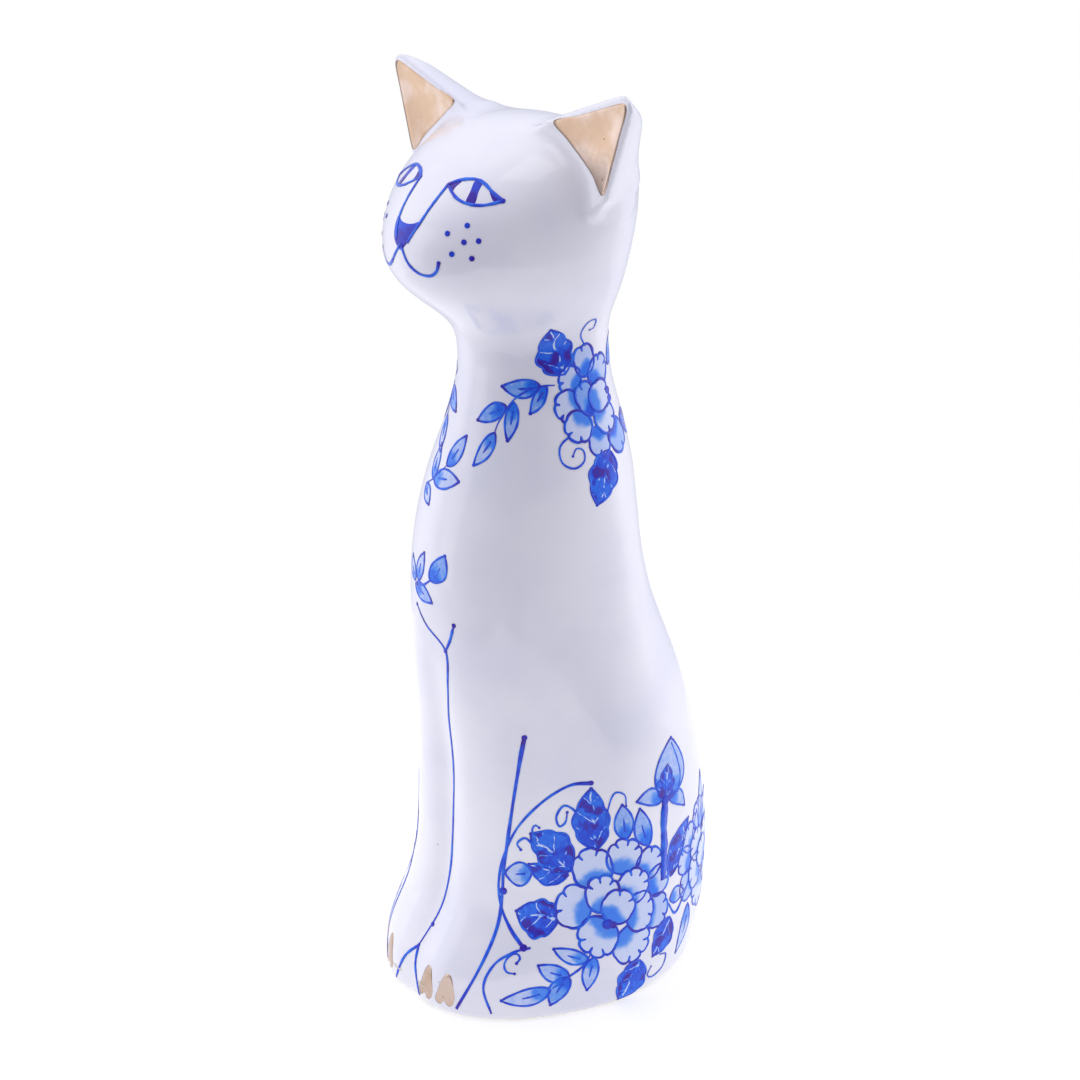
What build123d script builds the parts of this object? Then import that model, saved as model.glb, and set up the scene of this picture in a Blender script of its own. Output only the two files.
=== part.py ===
from build123d import *

import os
from math import atan2, cos, exp, hypot, pi, radians, sin

os.makedirs("parts", exist_ok=True)

# A tall sitting cat in glazed porcelain, hollow, with fired-on gold and cobalt decoration.
# Millimetres, +Z up. The origin is the middle of the footprint on the shelf; the cat faces -Y.

# ---- driving dimensions -------------------------------------------------------------------
WALL = 4.0  # slip-cast wall
NECK_Z = 226.0  # height of the luted joint between torso and head
FLOOR_BOTTOM = 2.5  # underside of the closing floor, clear of the shelf
FLOOR_TOP = 6.5
VENT_RADIUS = 4.0  # firing vent in the closing floor
GOLD = 0.15  # thickness of the fired lustre
ENAMEL = 0.2  # thickness of the fired cobalt line work

# Stations of the torso: height, half width, reach to the front, reach to the back,
# centre along Y, depth of the crease between the forelegs, depth of the hollow behind them.
TORSO = [
    (0.0, 48.5, 55.5, 57.5, 4.0, 1.5, 1.0),
    (15.0, 50.0, 54.0, 62.5, 6.0, 3.0, 2.5),
    (30.0, 48.5, 43.5, 64.5, 7.0, 3.2, 3.6),
    (45.0, 47.8, 39.8, 64.3, 7.5, 3.2, 4.2),
    (60.0, 47.0, 39.0, 63.0, 8.0, 3.0, 4.6),
    (75.0, 45.7, 39.0, 60.8, 7.7, 2.8, 4.5),
    (90.0, 44.0, 39.7, 57.0, 7.0, 2.4, 4.0),
    (105.0, 41.8, 41.3, 51.0, 5.6, 1.8, 3.2),
    (120.0, 39.2, 42.8, 43.8, 4.0, 1.2, 2.2),
    (135.0, 37.2, 43.5, 36.5, 3.0, 0.5, 1.2),
    (150.0, 35.6, 43.0, 32.0, 2.0, 0.0, 0.5),
    (165.0, 34.0, 40.5, 30.6, 1.0, 0.0, 0.0),
    (180.0, 31.5, 35.5, 30.2, 0.5, 0.0, 0.0),
    (195.0, 26.8, 29.0, 27.2, 1.0, 0.0, 0.0),
    (210.0, 22.8, 25.0, 22.2, 2.0, 0.0, 0.0),
    (NECK_Z, 23.0, 26.0, 19.5, 2.0, 0.0, 0.0),
]
FOOT_ROUND = 3.0  # rounded lower edge of the foot
CREASE_WIDTH = 7.0
HOLLOW_ANGLE = 58.0  # degrees round from the front
HOLLOW_WIDTH = 20.0

# Stations of the head: height, half width, reach to the front, reach to the back,
# centre along Y, and how pointed the muzzle is (1 is a plain ellipse).
HEAD = [
    (NECK_Z, 23.0, 26.0, 19.5, 2.0, 1.0),
    (232.0, 27.0, 34.0, 20.0, 0.0, 1.05),
    (238.0, 31.5, 43.0, 21.0, -2.0, 1.15),
    (244.0, 35.0, 49.5, 22.5, -4.0, 1.25),
    (252.0, 38.0, 52.0, 24.0, -5.0, 1.3),
    (260.0, 40.0, 49.5, 25.0, -5.0, 1.25),
    (268.0, 40.0, 43.5, 25.5, -5.0, 1.15),
    (276.0, 37.5, 36.0, 24.5, -5.0, 1.05),
    (283.0, 32.0, 27.5, 21.0, -4.0, 1.0),
    (288.0, 23.5, 18.5, 15.0, -3.0, 1.0),
    (290.5, 13.0, 11.0, 7.5, -2.0, 1.0),
    (291.3, 5.0, 5.0, 2.0, -1.5, 1.0),
]
HEAD_ROOM_TOP = 283.0  # the head's hollow stops at this station

# Ear, left side: the middle of its root line on the crown, the direction of that line from
# the inner to the outer corner, and where the tip stands over the root plane.
EAR_ROOT = Vector(32.5, -12.0, 281.3)
EAR_ACROSS = Vector(0.804, 0.0, -0.595)
EAR_UP = Vector(0.595, 0.0, 0.804)
EAR_HALF = 15.5
EAR_DEPTH = 20.0
EAR_HEIGHT = 27.2
EAR_LEAN = (5.3, 2.0)
EAR_TIP_SHARE = 0.06  # width of the blunt tip over the width of the root
EAR_SINK = 10.0  # how far the cone runs down into the crown before it is trimmed to it
EAR_SINK_SHARE = 0.95
# Outline of the gilding on the ear's flat front: along the root line, and up from it.
GILDING = [(-14.0, 0.8), (0.0, 0.2), (14.0, 0.8), (EAR_LEAN[0] + 1.0, 24.5), (EAR_LEAN[0] - 1.0, 24.5)]

TAIL_RADIUS = 5.5
TAIL_Z = 9.5
BODY_AXIS = (0.0, 5.0)  # where the upright axis of the body stands
TAIL_RADII = (49.0, 55.0)
TAIL_FROM, TAIL_TO = 88.0, 198.0  # degrees round the footprint, over the cat's right side

SIDES = {"left": 1, "right": -1}
LINE = 1.4  # brush line of the enamel
SHEET = 200.0  # side of a square wider than the whole cat
CUT_REACH = 60.0  # how far a drawn shape is pushed through the skin it is cut from
SKIN_START = 10.0  # where that push starts, out from the axis of the body

CLAWS = [(11.0, 10.0), (18.0, 9.5)]
CLAW_SIZE = (1.9, 5.0)
CLAW_START = 30.0

EYE = (17.0, 272.5)
EYE_OUTER = (10.0, 4.5)
EYE_INNER = (8.6, 3.2)
EYE_TILT = 5.0
PUPIL = (16.5, 272.5)
PUPIL_SIZE = (3.0, 7.4)
BRIDGE = [(8.0, 272.8), (4.6, 262.0)]  # from the inner corner of the eye to the nose
SMILE = [(0.0, 252.5), (6.5, 248.5), (14.0, 253.5)]
NOSE = [(-5.2, 262.8), (5.2, 262.8), (0.8, 252.0), (-0.8, 252.0)]

FORELEG_LINE = [(-10.0, 136.0), (0.0, 118.0), (2.0, 90.0), (2.0, 45.0), (0.0, 26.0), (-2.0, 4.5)]
LEG_LINE = [(-3.0, 99.0), (-12.0, 60.0), (-19.0, 30.0), (-22.0, 19.0)]
LEG_LINE_TURN = 42.0

# Flowers: the plane they are drawn on (degrees round, out from the axis), heart, radius, petals.
HAUNCH_FLOWER = (70.0, 12.0, (2.0, 31.5), 14.0, 8)
NECK_FLOWER = (90.0, 5.0, (-3.0, 204.0), 10.0, 7)
PETAL_SHARE = 2.6  # radius of all the petals together, over the radius of the flower
LEAF_SHARE = (0.45, 0.24)  # half length and half width of a leaf, over the same
CHEST_LEAF = (4.4, 2.0)

# Leaves of the painted sprays on the left side: place across and up the facing plane, tilt.
HAUNCH_LEAVES = [(-12.0, 58.0, 40), (-1.0, 66.0, 75), (-24.0, 33.0, -20), (11.0, 54.0, 60),
                 (24.0, 72.0, 85), (21.0, 44.0, 60), (-6.0, 8.0, 30), (10.0, 9.0, 80)]
LEAF_COUNT = {"left": 8, "right": 6}  # the tail lies where the right side's last two would be
NECK_LEAVES = [(-3.0, 185.0, 80), (-12.0, 219.0, 45), (9.0, 219.0, 120)]
CHEST_LEAVES = [(13.0, 207.0, 20), (9.0, 200.0, 60), (3.0, 196.0, 20), (-1.0, 190.0, 80),
                (-6.0, 184.0, 30), (-10.0, 177.0, 60)]

TURNS = [0, 8, 20, 36, 54, 72, 92, 114, 138, 160, 180]


# ---- outlines -----------------------------------------------------------------------------
def round_outline(half, front, back, centre, pointed, crease, hollow, inset):
    """Points of one horizontal outline, from the front round the left side to the back."""
    points = []
    for turn in TURNS:
        angle = radians(turn)
        x = half * sin(angle)
        if turn <= 90:
            y = centre - (front + centre) * cos(angle) ** pointed
        else:
            y = centre - (back - centre) * cos(angle)
        reach = hypot(x, y - centre)
        groove = crease * exp(-((x / CREASE_WIDTH) ** 2)) if turn < 90 else 0.0
        groove += hollow * exp(-(((turn - HOLLOW_ANGLE) / HOLLOW_WIDTH) ** 2))
        scale = (reach - groove - inset) / reach
        points.append((x * scale, centre + (y - centre) * scale))
    return points


def whole(points):
    """Closes a left half outline with its mirror image."""
    mirrored = [(-x, y) for x, y in reversed(points[1:-1])]
    return points + mirrored


def torso_outline(station, inset):
    z, half, front, back, centre, crease, hollow = station
    return whole(round_outline(half, front, back, centre, 1.0, crease, hollow, inset))


def head_outline(station, inset):
    z, half, front, back, centre, pointed = station
    return whole(round_outline(half, front, back, centre, pointed, 0.0, 0.0, inset))


def layers(stations, outline, inset):
    """The horizontal faces of all stations, ready to loft."""
    faces = []
    for station in stations:
        with BuildSketch(Plane.XY.offset(station[0])) as layer:
            with BuildLine():
                Spline(outline(station, inset), periodic=True)
            make_face()
        faces.append(layer.sketch)
    return faces


# ---- whole outer forms, used to cut and to wrap thinner pieces ------------------------------
with BuildPart() as torso_form:
    loft(sections=layers(TORSO, torso_outline, 0.0))
    fillet(torso_form.faces().sort_by(Axis.Z)[0].edges(), radius=FOOT_ROUND)

with BuildPart() as head_form:
    loft(sections=layers(HEAD, head_outline, 0.0))

with BuildPart() as torso_room:
    loft(sections=layers(TORSO, torso_outline, WALL))

with BuildPart() as head_room:
    low_head = [station for station in HEAD if station[0] <= HEAD_ROOM_TOP]
    loft(sections=layers(low_head, head_outline, WALL))

# ---- castings -------------------------------------------------------------------------------
with BuildPart() as torso_casting:
    add(torso_form.part)
    add(torso_room.part, mode=Mode.SUBTRACT)

with BuildPart() as head_casting:
    add(head_form.part)
    add(head_room.part, mode=Mode.SUBTRACT)

# Floor that closes the foot, let into the wall, with a firing vent in the middle.
with BuildPart() as closing_floor:
    add(torso_room.part)
    with BuildSketch(Plane.XY.offset(FLOOR_BOTTOM)):
        Rectangle(SHEET, SHEET)
    extrude(amount=FLOOR_TOP - FLOOR_BOTTOM, mode=Mode.INTERSECT)
    with Locations((0, 0, FLOOR_TOP)):
        Hole(radius=VENT_RADIUS)


# ---- ears, pressed solid and luted on ---------------------------------------------------------
def ear_layer(height, share):
    """One section of the left ear's cone: flat to the front, round to the back."""
    lean_x, lean_y = (value * height / EAR_HEIGHT for value in EAR_LEAN)
    half = EAR_HALF * share
    with BuildSketch(Plane(EAR_ROOT + EAR_UP * height, EAR_ACROSS, EAR_UP)) as layer:
        with BuildLine():
            Line((lean_x - half, lean_y), (lean_x + half, lean_y))
            back = (lean_x, lean_y + EAR_DEPTH * share)
            ThreePointArc((lean_x - half, lean_y), back, (lean_x + half, lean_y))
        make_face()
    return layer.sketch


tip_height = EAR_HEIGHT * (1 - EAR_TIP_SHARE)
with BuildPart() as left_ear:
    loft(sections=[ear_layer(-EAR_SINK, EAR_SINK_SHARE), ear_layer(0.0, 1.0)], ruled=True)
    loft(sections=[ear_layer(0.0, 1.0), ear_layer(tip_height, EAR_TIP_SHARE)], ruled=True)
    add(head_form.part, mode=Mode.SUBTRACT)

with BuildPart() as right_ear:
    add(left_ear.part)
    mirror(about=Plane.YZ, mode=Mode.REPLACE)

# Gold lustre over the front of each ear.
ear_rise = EAR_UP * EAR_HEIGHT + Vector(0, EAR_LEAN[1], 0)
ear_face = Plane(EAR_ROOT, EAR_ACROSS, EAR_ACROSS.cross(ear_rise))
with BuildPart() as left_ear_gilding:
    with BuildSketch(ear_face):
        with BuildLine():
            Polyline(*GILDING, close=True)
        make_face()
    extrude(amount=GOLD)

with BuildPart() as right_ear_gilding:
    add(left_ear_gilding.part)
    mirror(about=Plane.YZ, mode=Mode.REPLACE)

# ---- tail, in relief round the cat's right haunch ---------------------------------------------
with BuildPart() as tail:
    with BuildLine(Plane.XY.offset(TAIL_Z)) as tail_line:
        EllipticalCenterArc(BODY_AXIS, *TAIL_RADII, start_angle=TAIL_FROM, arc_size=TAIL_TO - TAIL_FROM)
    with BuildSketch(Plane(tail_line.line @ 0, z_dir=tail_line.line % 0)):
        Circle(TAIL_RADIUS)
    sweep()
    with Locations(tail_line.line @ 0, tail_line.line @ 1):
        Sphere(TAIL_RADIUS)
    add(torso_form.part, mode=Mode.SUBTRACT)

# ---- fired-on decoration, thin layers that follow the glaze -----------------------------------
with BuildPart() as torso_gold_skin:
    loft(sections=layers(TORSO, torso_outline, -GOLD))
    add(torso_form.part, mode=Mode.SUBTRACT)

with BuildPart() as torso_enamel_skin:
    loft(sections=layers(TORSO, torso_outline, -ENAMEL))
    add(torso_form.part, mode=Mode.SUBTRACT)

with BuildPart() as head_enamel_skin:
    loft(sections=layers(HEAD, head_outline, -ENAMEL))
    add(head_form.part, mode=Mode.SUBTRACT)


def facing(turn, out=0.0):
    """Upright plane through the body's axis, facing outwards `turn` degrees round from the
    front towards the cat's left, with its X to the viewer's right and its Y upwards."""
    angle = radians(turn)
    outward = Vector(sin(angle), -cos(angle), 0)
    return Plane(Vector(*BODY_AXIS, 0) + outward * out, (cos(angle), sin(angle), 0), outward)


# Gold claws, two at the front of each forepaw.
claws = {}
for side, sign in SIDES.items():
    with BuildPart() as claw_gilding:
        with BuildSketch(facing(0, CLAW_START)):
            with Locations(*[(sign * x, z) for x, z in CLAWS]):
                Ellipse(*CLAW_SIZE)
        extrude(amount=CUT_REACH)
        add(torso_gold_skin.part, mode=Mode.INTERSECT)
    claws[f"{side}_claw_gilding"] = claw_gilding

# Eyes, nose and mouth, joined by the lines that run down from the eyes.
with BuildPart() as face_enamel:
    with BuildSketch(facing(0, SKIN_START)):
        for sign in SIDES.values():
            with Locations(Location((sign * EYE[0], EYE[1], 0), (0, 0, -sign * EYE_TILT))):
                Ellipse(*EYE_OUTER)
                Ellipse(*EYE_INNER, mode=Mode.SUBTRACT)
            with Locations((sign * PUPIL[0], PUPIL[1])):
                Rectangle(*PUPIL_SIZE)
            with BuildLine():
                Line(*[(sign * x, z) for x, z in BRIDGE])
                ThreePointArc(*[(sign * x, z) for x, z in SMILE])
            trace(line_width=LINE)
        with BuildLine():
            Polyline(*NOSE, close=True)
        make_face()
    extrude(amount=CUT_REACH)
    add(head_enamel_skin.part, mode=Mode.INTERSECT)

# Line between the forelegs.
with BuildPart() as foreleg_enamel:
    with BuildSketch(facing(0, SKIN_START)):
        with BuildLine():
            Spline(*FORELEG_LINE)
        trace(line_width=LINE)
    extrude(amount=CUT_REACH)
    add(torso_enamel_skin.part, mode=Mode.INTERSECT)


def spray(heart, radius, petals, places, sign):
    """A round flower with scalloped petals, and leaves on stems that leave from its heart."""
    with BuildSketch() as drawn:
        with Locations((sign * heart[0], heart[1])):
            Circle(radius)
            with PolarLocations(radius, petals):
                Circle(radius * PETAL_SHARE / petals)
        with BuildLine():
            for x, z, tilt in places:
                Line((sign * heart[0], heart[1]), (sign * x, z))
        trace(line_width=LINE)
        for x, z, tilt in places:
            with Locations(Location((sign * x, z, 0), (0, 0, sign * tilt))):
                Ellipse(radius * LEAF_SHARE[0], radius * LEAF_SHARE[1])
    return drawn.sketch


def flower_piece(flower, places, sign):
    """A flower and its leaves, cut out of the enamel skin on the side given by the sign."""
    turn, out, heart, radius, petals = flower
    with BuildPart() as piece:
        with BuildSketch(facing(sign * turn, out)):
            add(spray(heart, radius, petals, places, sign))
        extrude(amount=CUT_REACH)
        add(torso_enamel_skin.part, mode=Mode.INTERSECT)
    return piece


# Flowers with their leaves on the haunches and the neck, and the back edge of each foreleg.
painted = {}
for side, sign in SIDES.items():
    haunch_leaves = HAUNCH_LEAVES[: LEAF_COUNT[side]]
    painted[f"{side}_haunch_enamel"] = flower_piece(HAUNCH_FLOWER, haunch_leaves, sign)
    painted[f"{side}_neck_enamel"] = flower_piece(NECK_FLOWER, NECK_LEAVES, sign)
    with BuildPart() as leg_line_enamel:
        with BuildSketch(facing(sign * LEG_LINE_TURN, SKIN_START)):
            with BuildLine():
                Spline(*[(sign * x, z) for x, z in LEG_LINE])
            trace(line_width=LINE)
        extrude(amount=CUT_REACH)
        add(torso_enamel_skin.part, mode=Mode.INTERSECT)
    painted[f"{side}_leg_line_enamel"] = leg_line_enamel

# Small leaves on one stem, hung across the chest.
with BuildPart() as chest_enamel:
    with BuildSketch(facing(0, SKIN_START)):
        with BuildLine():
            Polyline(*[(x, z) for x, z, tilt in CHEST_LEAVES])
        trace(line_width=LINE)
        for x, z, tilt in CHEST_LEAVES:
            with Locations(Location((x, z, 0), (0, 0, tilt))):
                Ellipse(*CHEST_LEAF)
    extrude(amount=CUT_REACH)
    add(torso_enamel_skin.part, mode=Mode.INTERSECT)

PIECES = {
    "torso_casting": torso_casting,
    "head_casting": head_casting,
    "closing_floor": closing_floor,
    "left_ear": left_ear,
    "right_ear": right_ear,
    "left_ear_gilding": left_ear_gilding,
    "right_ear_gilding": right_ear_gilding,
    "tail": tail,
    "face_enamel": face_enamel,
    "foreleg_enamel": foreleg_enamel,
    "chest_enamel": chest_enamel,
    **claws,
    **painted,
}
for name, piece in PIECES.items():
    piece.part.label = name
    export_step(piece.part, f"parts/{name}.step")
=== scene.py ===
import logging
import math
from dataclasses import dataclass, replace
from enum import Enum
from typing import Iterable, Sequence

import bpy
import numpy as np
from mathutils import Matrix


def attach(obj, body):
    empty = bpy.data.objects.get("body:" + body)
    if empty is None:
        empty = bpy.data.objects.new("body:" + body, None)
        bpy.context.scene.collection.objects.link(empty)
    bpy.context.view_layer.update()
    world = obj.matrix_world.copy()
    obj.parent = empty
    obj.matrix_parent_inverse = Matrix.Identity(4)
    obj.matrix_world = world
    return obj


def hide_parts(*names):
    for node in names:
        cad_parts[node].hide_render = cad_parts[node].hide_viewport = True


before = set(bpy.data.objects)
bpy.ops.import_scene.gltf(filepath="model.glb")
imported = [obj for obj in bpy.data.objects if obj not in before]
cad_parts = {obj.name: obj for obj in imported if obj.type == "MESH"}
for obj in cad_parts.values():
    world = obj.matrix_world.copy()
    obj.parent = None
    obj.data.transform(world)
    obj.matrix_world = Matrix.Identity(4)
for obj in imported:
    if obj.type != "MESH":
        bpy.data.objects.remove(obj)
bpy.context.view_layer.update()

# Glazed porcelain cat with fired gold and cobalt decoration. The shapes are worked out in
# millimetres on an implicit body form and are written in metres. The cat faces -Y.

log = logging.getLogger("porcelain_cat")

MM = 0.001

# The painting on the right haunch stops above the tail.
TAIL_TOP = 17.5
# A limit below the foot leaves nothing out on the left haunch.
BELOW_FOOT = -10.0
# Thickness of the gold.
GILT = 0.1
# Part of the way round a petal, in radians, that its lobes take up on each side.
LOBE_REACH = 1.75
# Slope of the form: half the distance between the two samples, and the smallest value used.
PROBE = 0.05
LEAST_SLOPE = 0.3
# Following a ray: how often, what share of the gap each time, and the longest steps back and on.
RAY_STEPS = 60
RAY_SHARE = 0.7
RAY_LIMITS = (-1.0, 8.0)

Point = tuple[float, float]


class Side(Enum):
    """Which side of the cat a piece is on; the value is the sign of X."""

    LEFT = 1
    RIGHT = -1

    @property
    def label(self) -> str:
        """The word used in piece and node names."""
        return self.name.lower()


class Brush(Enum):
    """The four ways the cobalt is laid on."""

    PETAL = "cobalt_petal_wash"
    LEAF = "cobalt_leaf_wash"
    DARK = "cobalt_dark_wash"
    SOLID = "cobalt_solid_wash"


# ---- the body as an implicit form --------------------------------------------------------------
# Stations from the shelf up: height, half width, depth to the front and to the back of the
# centre, centre along Y, crease between the forelegs, hollow behind them, muzzle sharpness.
STATIONS: tuple[tuple[float, ...], ...] = (
    (0, 48.5, 59.5, 53.5, 4, 1.5, 1, 1),
    (15, 50, 60, 56.5, 6, 3, 2.5, 1),
    (30, 48.5, 50.5, 57.5, 7, 3.2, 3.6, 1),
    (45, 47.8, 47.3, 56.8, 7.5, 3.2, 4.2, 1),
    (60, 47, 47, 55, 8, 3, 4.6, 1),
    (75, 45.7, 46.7, 53.1, 7.7, 2.8, 4.5, 1),
    (90, 44, 46.7, 50, 7, 2.4, 4, 1),
    (105, 41.8, 46.9, 45.4, 5.6, 1.8, 3.2, 1),
    (120, 39.2, 46.8, 39.8, 4, 1.2, 2.2, 1),
    (135, 37.2, 46.5, 33.5, 3, 0.5, 1.2, 1),
    (150, 35.6, 45, 30, 2, 0, 0.5, 1),
    (165, 34, 41.5, 29.6, 1, 0, 0, 1),
    (180, 31.5, 36, 29.7, 0.5, 0, 0, 1),
    (195, 26.8, 30, 26.2, 1, 0, 0, 1),
    (210, 22.8, 27, 20.2, 2, 0, 0, 1),
    (226, 23, 28, 17.5, 2, 0, 0, 1),
    (232, 27, 34, 20, 0, 0, 0, 1.05),
    (238, 31.5, 41, 23, -2, 0, 0, 1.15),
    (244, 35, 45.5, 25.2, -4, 0, 0, 1.25),
    (252, 38, 47, 27, -5, 0, 0, 1.3),
    (260, 40, 44.5, 28.2, -5, 0, 0, 1.25),
    (268, 40.3, 38.9, 29.6, -5, 0, 0, 1.15),
    (276, 40.5, 33.4, 31.5, -5, 0, 0, 1.05),
    (283, 40.5, 28.7, 31.5, -5, 0, 0, 1),
    (291.5, 40.5, 22, 31, -5, 0, 0, 1),
)


def smooth_union(a: np.ndarray, b: np.ndarray, reach: float | np.ndarray) -> np.ndarray:
    """Joins two forms with a fillet about `reach` millimetres wide."""
    mix = np.clip(0.5 + 0.5 * (b - a) / reach, 0.0, 1.0)
    return b + (a - b) * mix - reach * mix * (1.0 - mix)


def round_cut(a: np.ndarray, b: np.ndarray, radius: float) -> np.ndarray:
    """Keeps what is inside both forms, with an edge of the given radius."""
    inner = np.minimum(-radius, np.maximum(a, b))
    return inner + np.hypot(np.maximum(a + radius, 0.0), np.maximum(b + radius, 0.0))


@dataclass(frozen=True)
class EarForm:
    """The left ear: a leaning cone with a dished front, standing on the crown."""

    root: tuple[float, float, float] = (33.5, -12.7, 281.3)
    across: tuple[float, float, float] = (0.804, 0.0, -0.595)
    up: tuple[float, float, float] = (0.595, 0.0, 0.804)
    half: float = 15.5
    depth: float = 20.0
    height: float = 27.4
    lean: Point = (5.0, 0.6)
    tip_share: float = 0.12
    tip_depth_share: float = 0.34
    dish: float = 1.2
    edge: float = 1.5
    sink: float = 9.0
    top_slope: float = 0.8

    def field(self, p: np.ndarray) -> np.ndarray:
        """Signed distance-like value at points, negative inside, for the ear on +X.

        Args:
            p: Points in millimetres, one row each.

        Returns:
            One value for each point.
        """
        local = p - np.array(self.root)
        a = local @ np.array(self.across)
        u = local @ np.array(self.up)
        rise = u / self.height
        a = a - self.lean[0] * rise
        b = local[:, 1] - self.lean[1] * rise
        share = np.clip(1.0 - rise * (1.0 - self.tip_share), 0.02, 1.05)
        half = self.half * share
        depth = self.depth * np.clip(1.0 - rise * (1.0 - self.tip_depth_share), 0.02, 1.05)
        dished = self.dish * share * np.clip(1.0 - (a / half) ** 2, 0.0, 1.0)
        front = dished - b
        q = np.sqrt((a / half) ** 2 + (np.maximum(b, 0.0) / depth) ** 2)
        back = np.hypot(a, np.maximum(b, 0.0)) * (1.0 - 1.0 / np.maximum(q, 0.05))
        cone = round_cut(front, back * 0.86, self.edge)
        top = (u - self.height + self.top_slope * b) / math.hypot(1.0, self.top_slope)
        capped = round_cut(cone, top, self.edge)
        return round_cut(capped, -self.sink - u, self.edge)


@dataclass(frozen=True)
class TailForm:
    """The tail, in relief along the foot from the middle of the back to the right forepaw."""

    centre: Point = (0.0, 5.0)
    radii: Point = (49.0, 55.0)
    start: float = 88.0
    end: float = 198.0
    height: float = 9.5
    radius: float = 5.5
    tip_radius: float = 4.6
    bury: float = 0.12
    bury_reach: float = 14.0

    def field(self, p: np.ndarray) -> np.ndarray:
        """Distance to the tail's round rod at points, negative inside.

        Args:
            p: Points in millimetres, one row each.

        Returns:
            One value for each point.
        """
        x, y = ((p[:, :2] - self.centre) / self.radii).T
        angle = np.degrees(np.arctan2(y, x))
        angle = np.where(angle < self.start - 90.0, angle + 360.0, angle)
        held = np.clip(angle, self.start, self.end)
        share = (held - self.start) / (self.end - self.start)
        turn = np.radians(held)
        around = self.centre + np.array(self.radii) * np.stack([np.cos(turn), np.sin(turn)], axis=1)
        line = np.column_stack([around, np.full(len(p), self.height)])
        radius = self.radius + (self.tip_radius - self.radius) * share
        line[:, :2] *= 1.0 - self.bury * np.exp(-(((held - self.start) / self.bury_reach) ** 2))[:, None]
        return np.linalg.norm(p - line, axis=1) - radius


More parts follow.
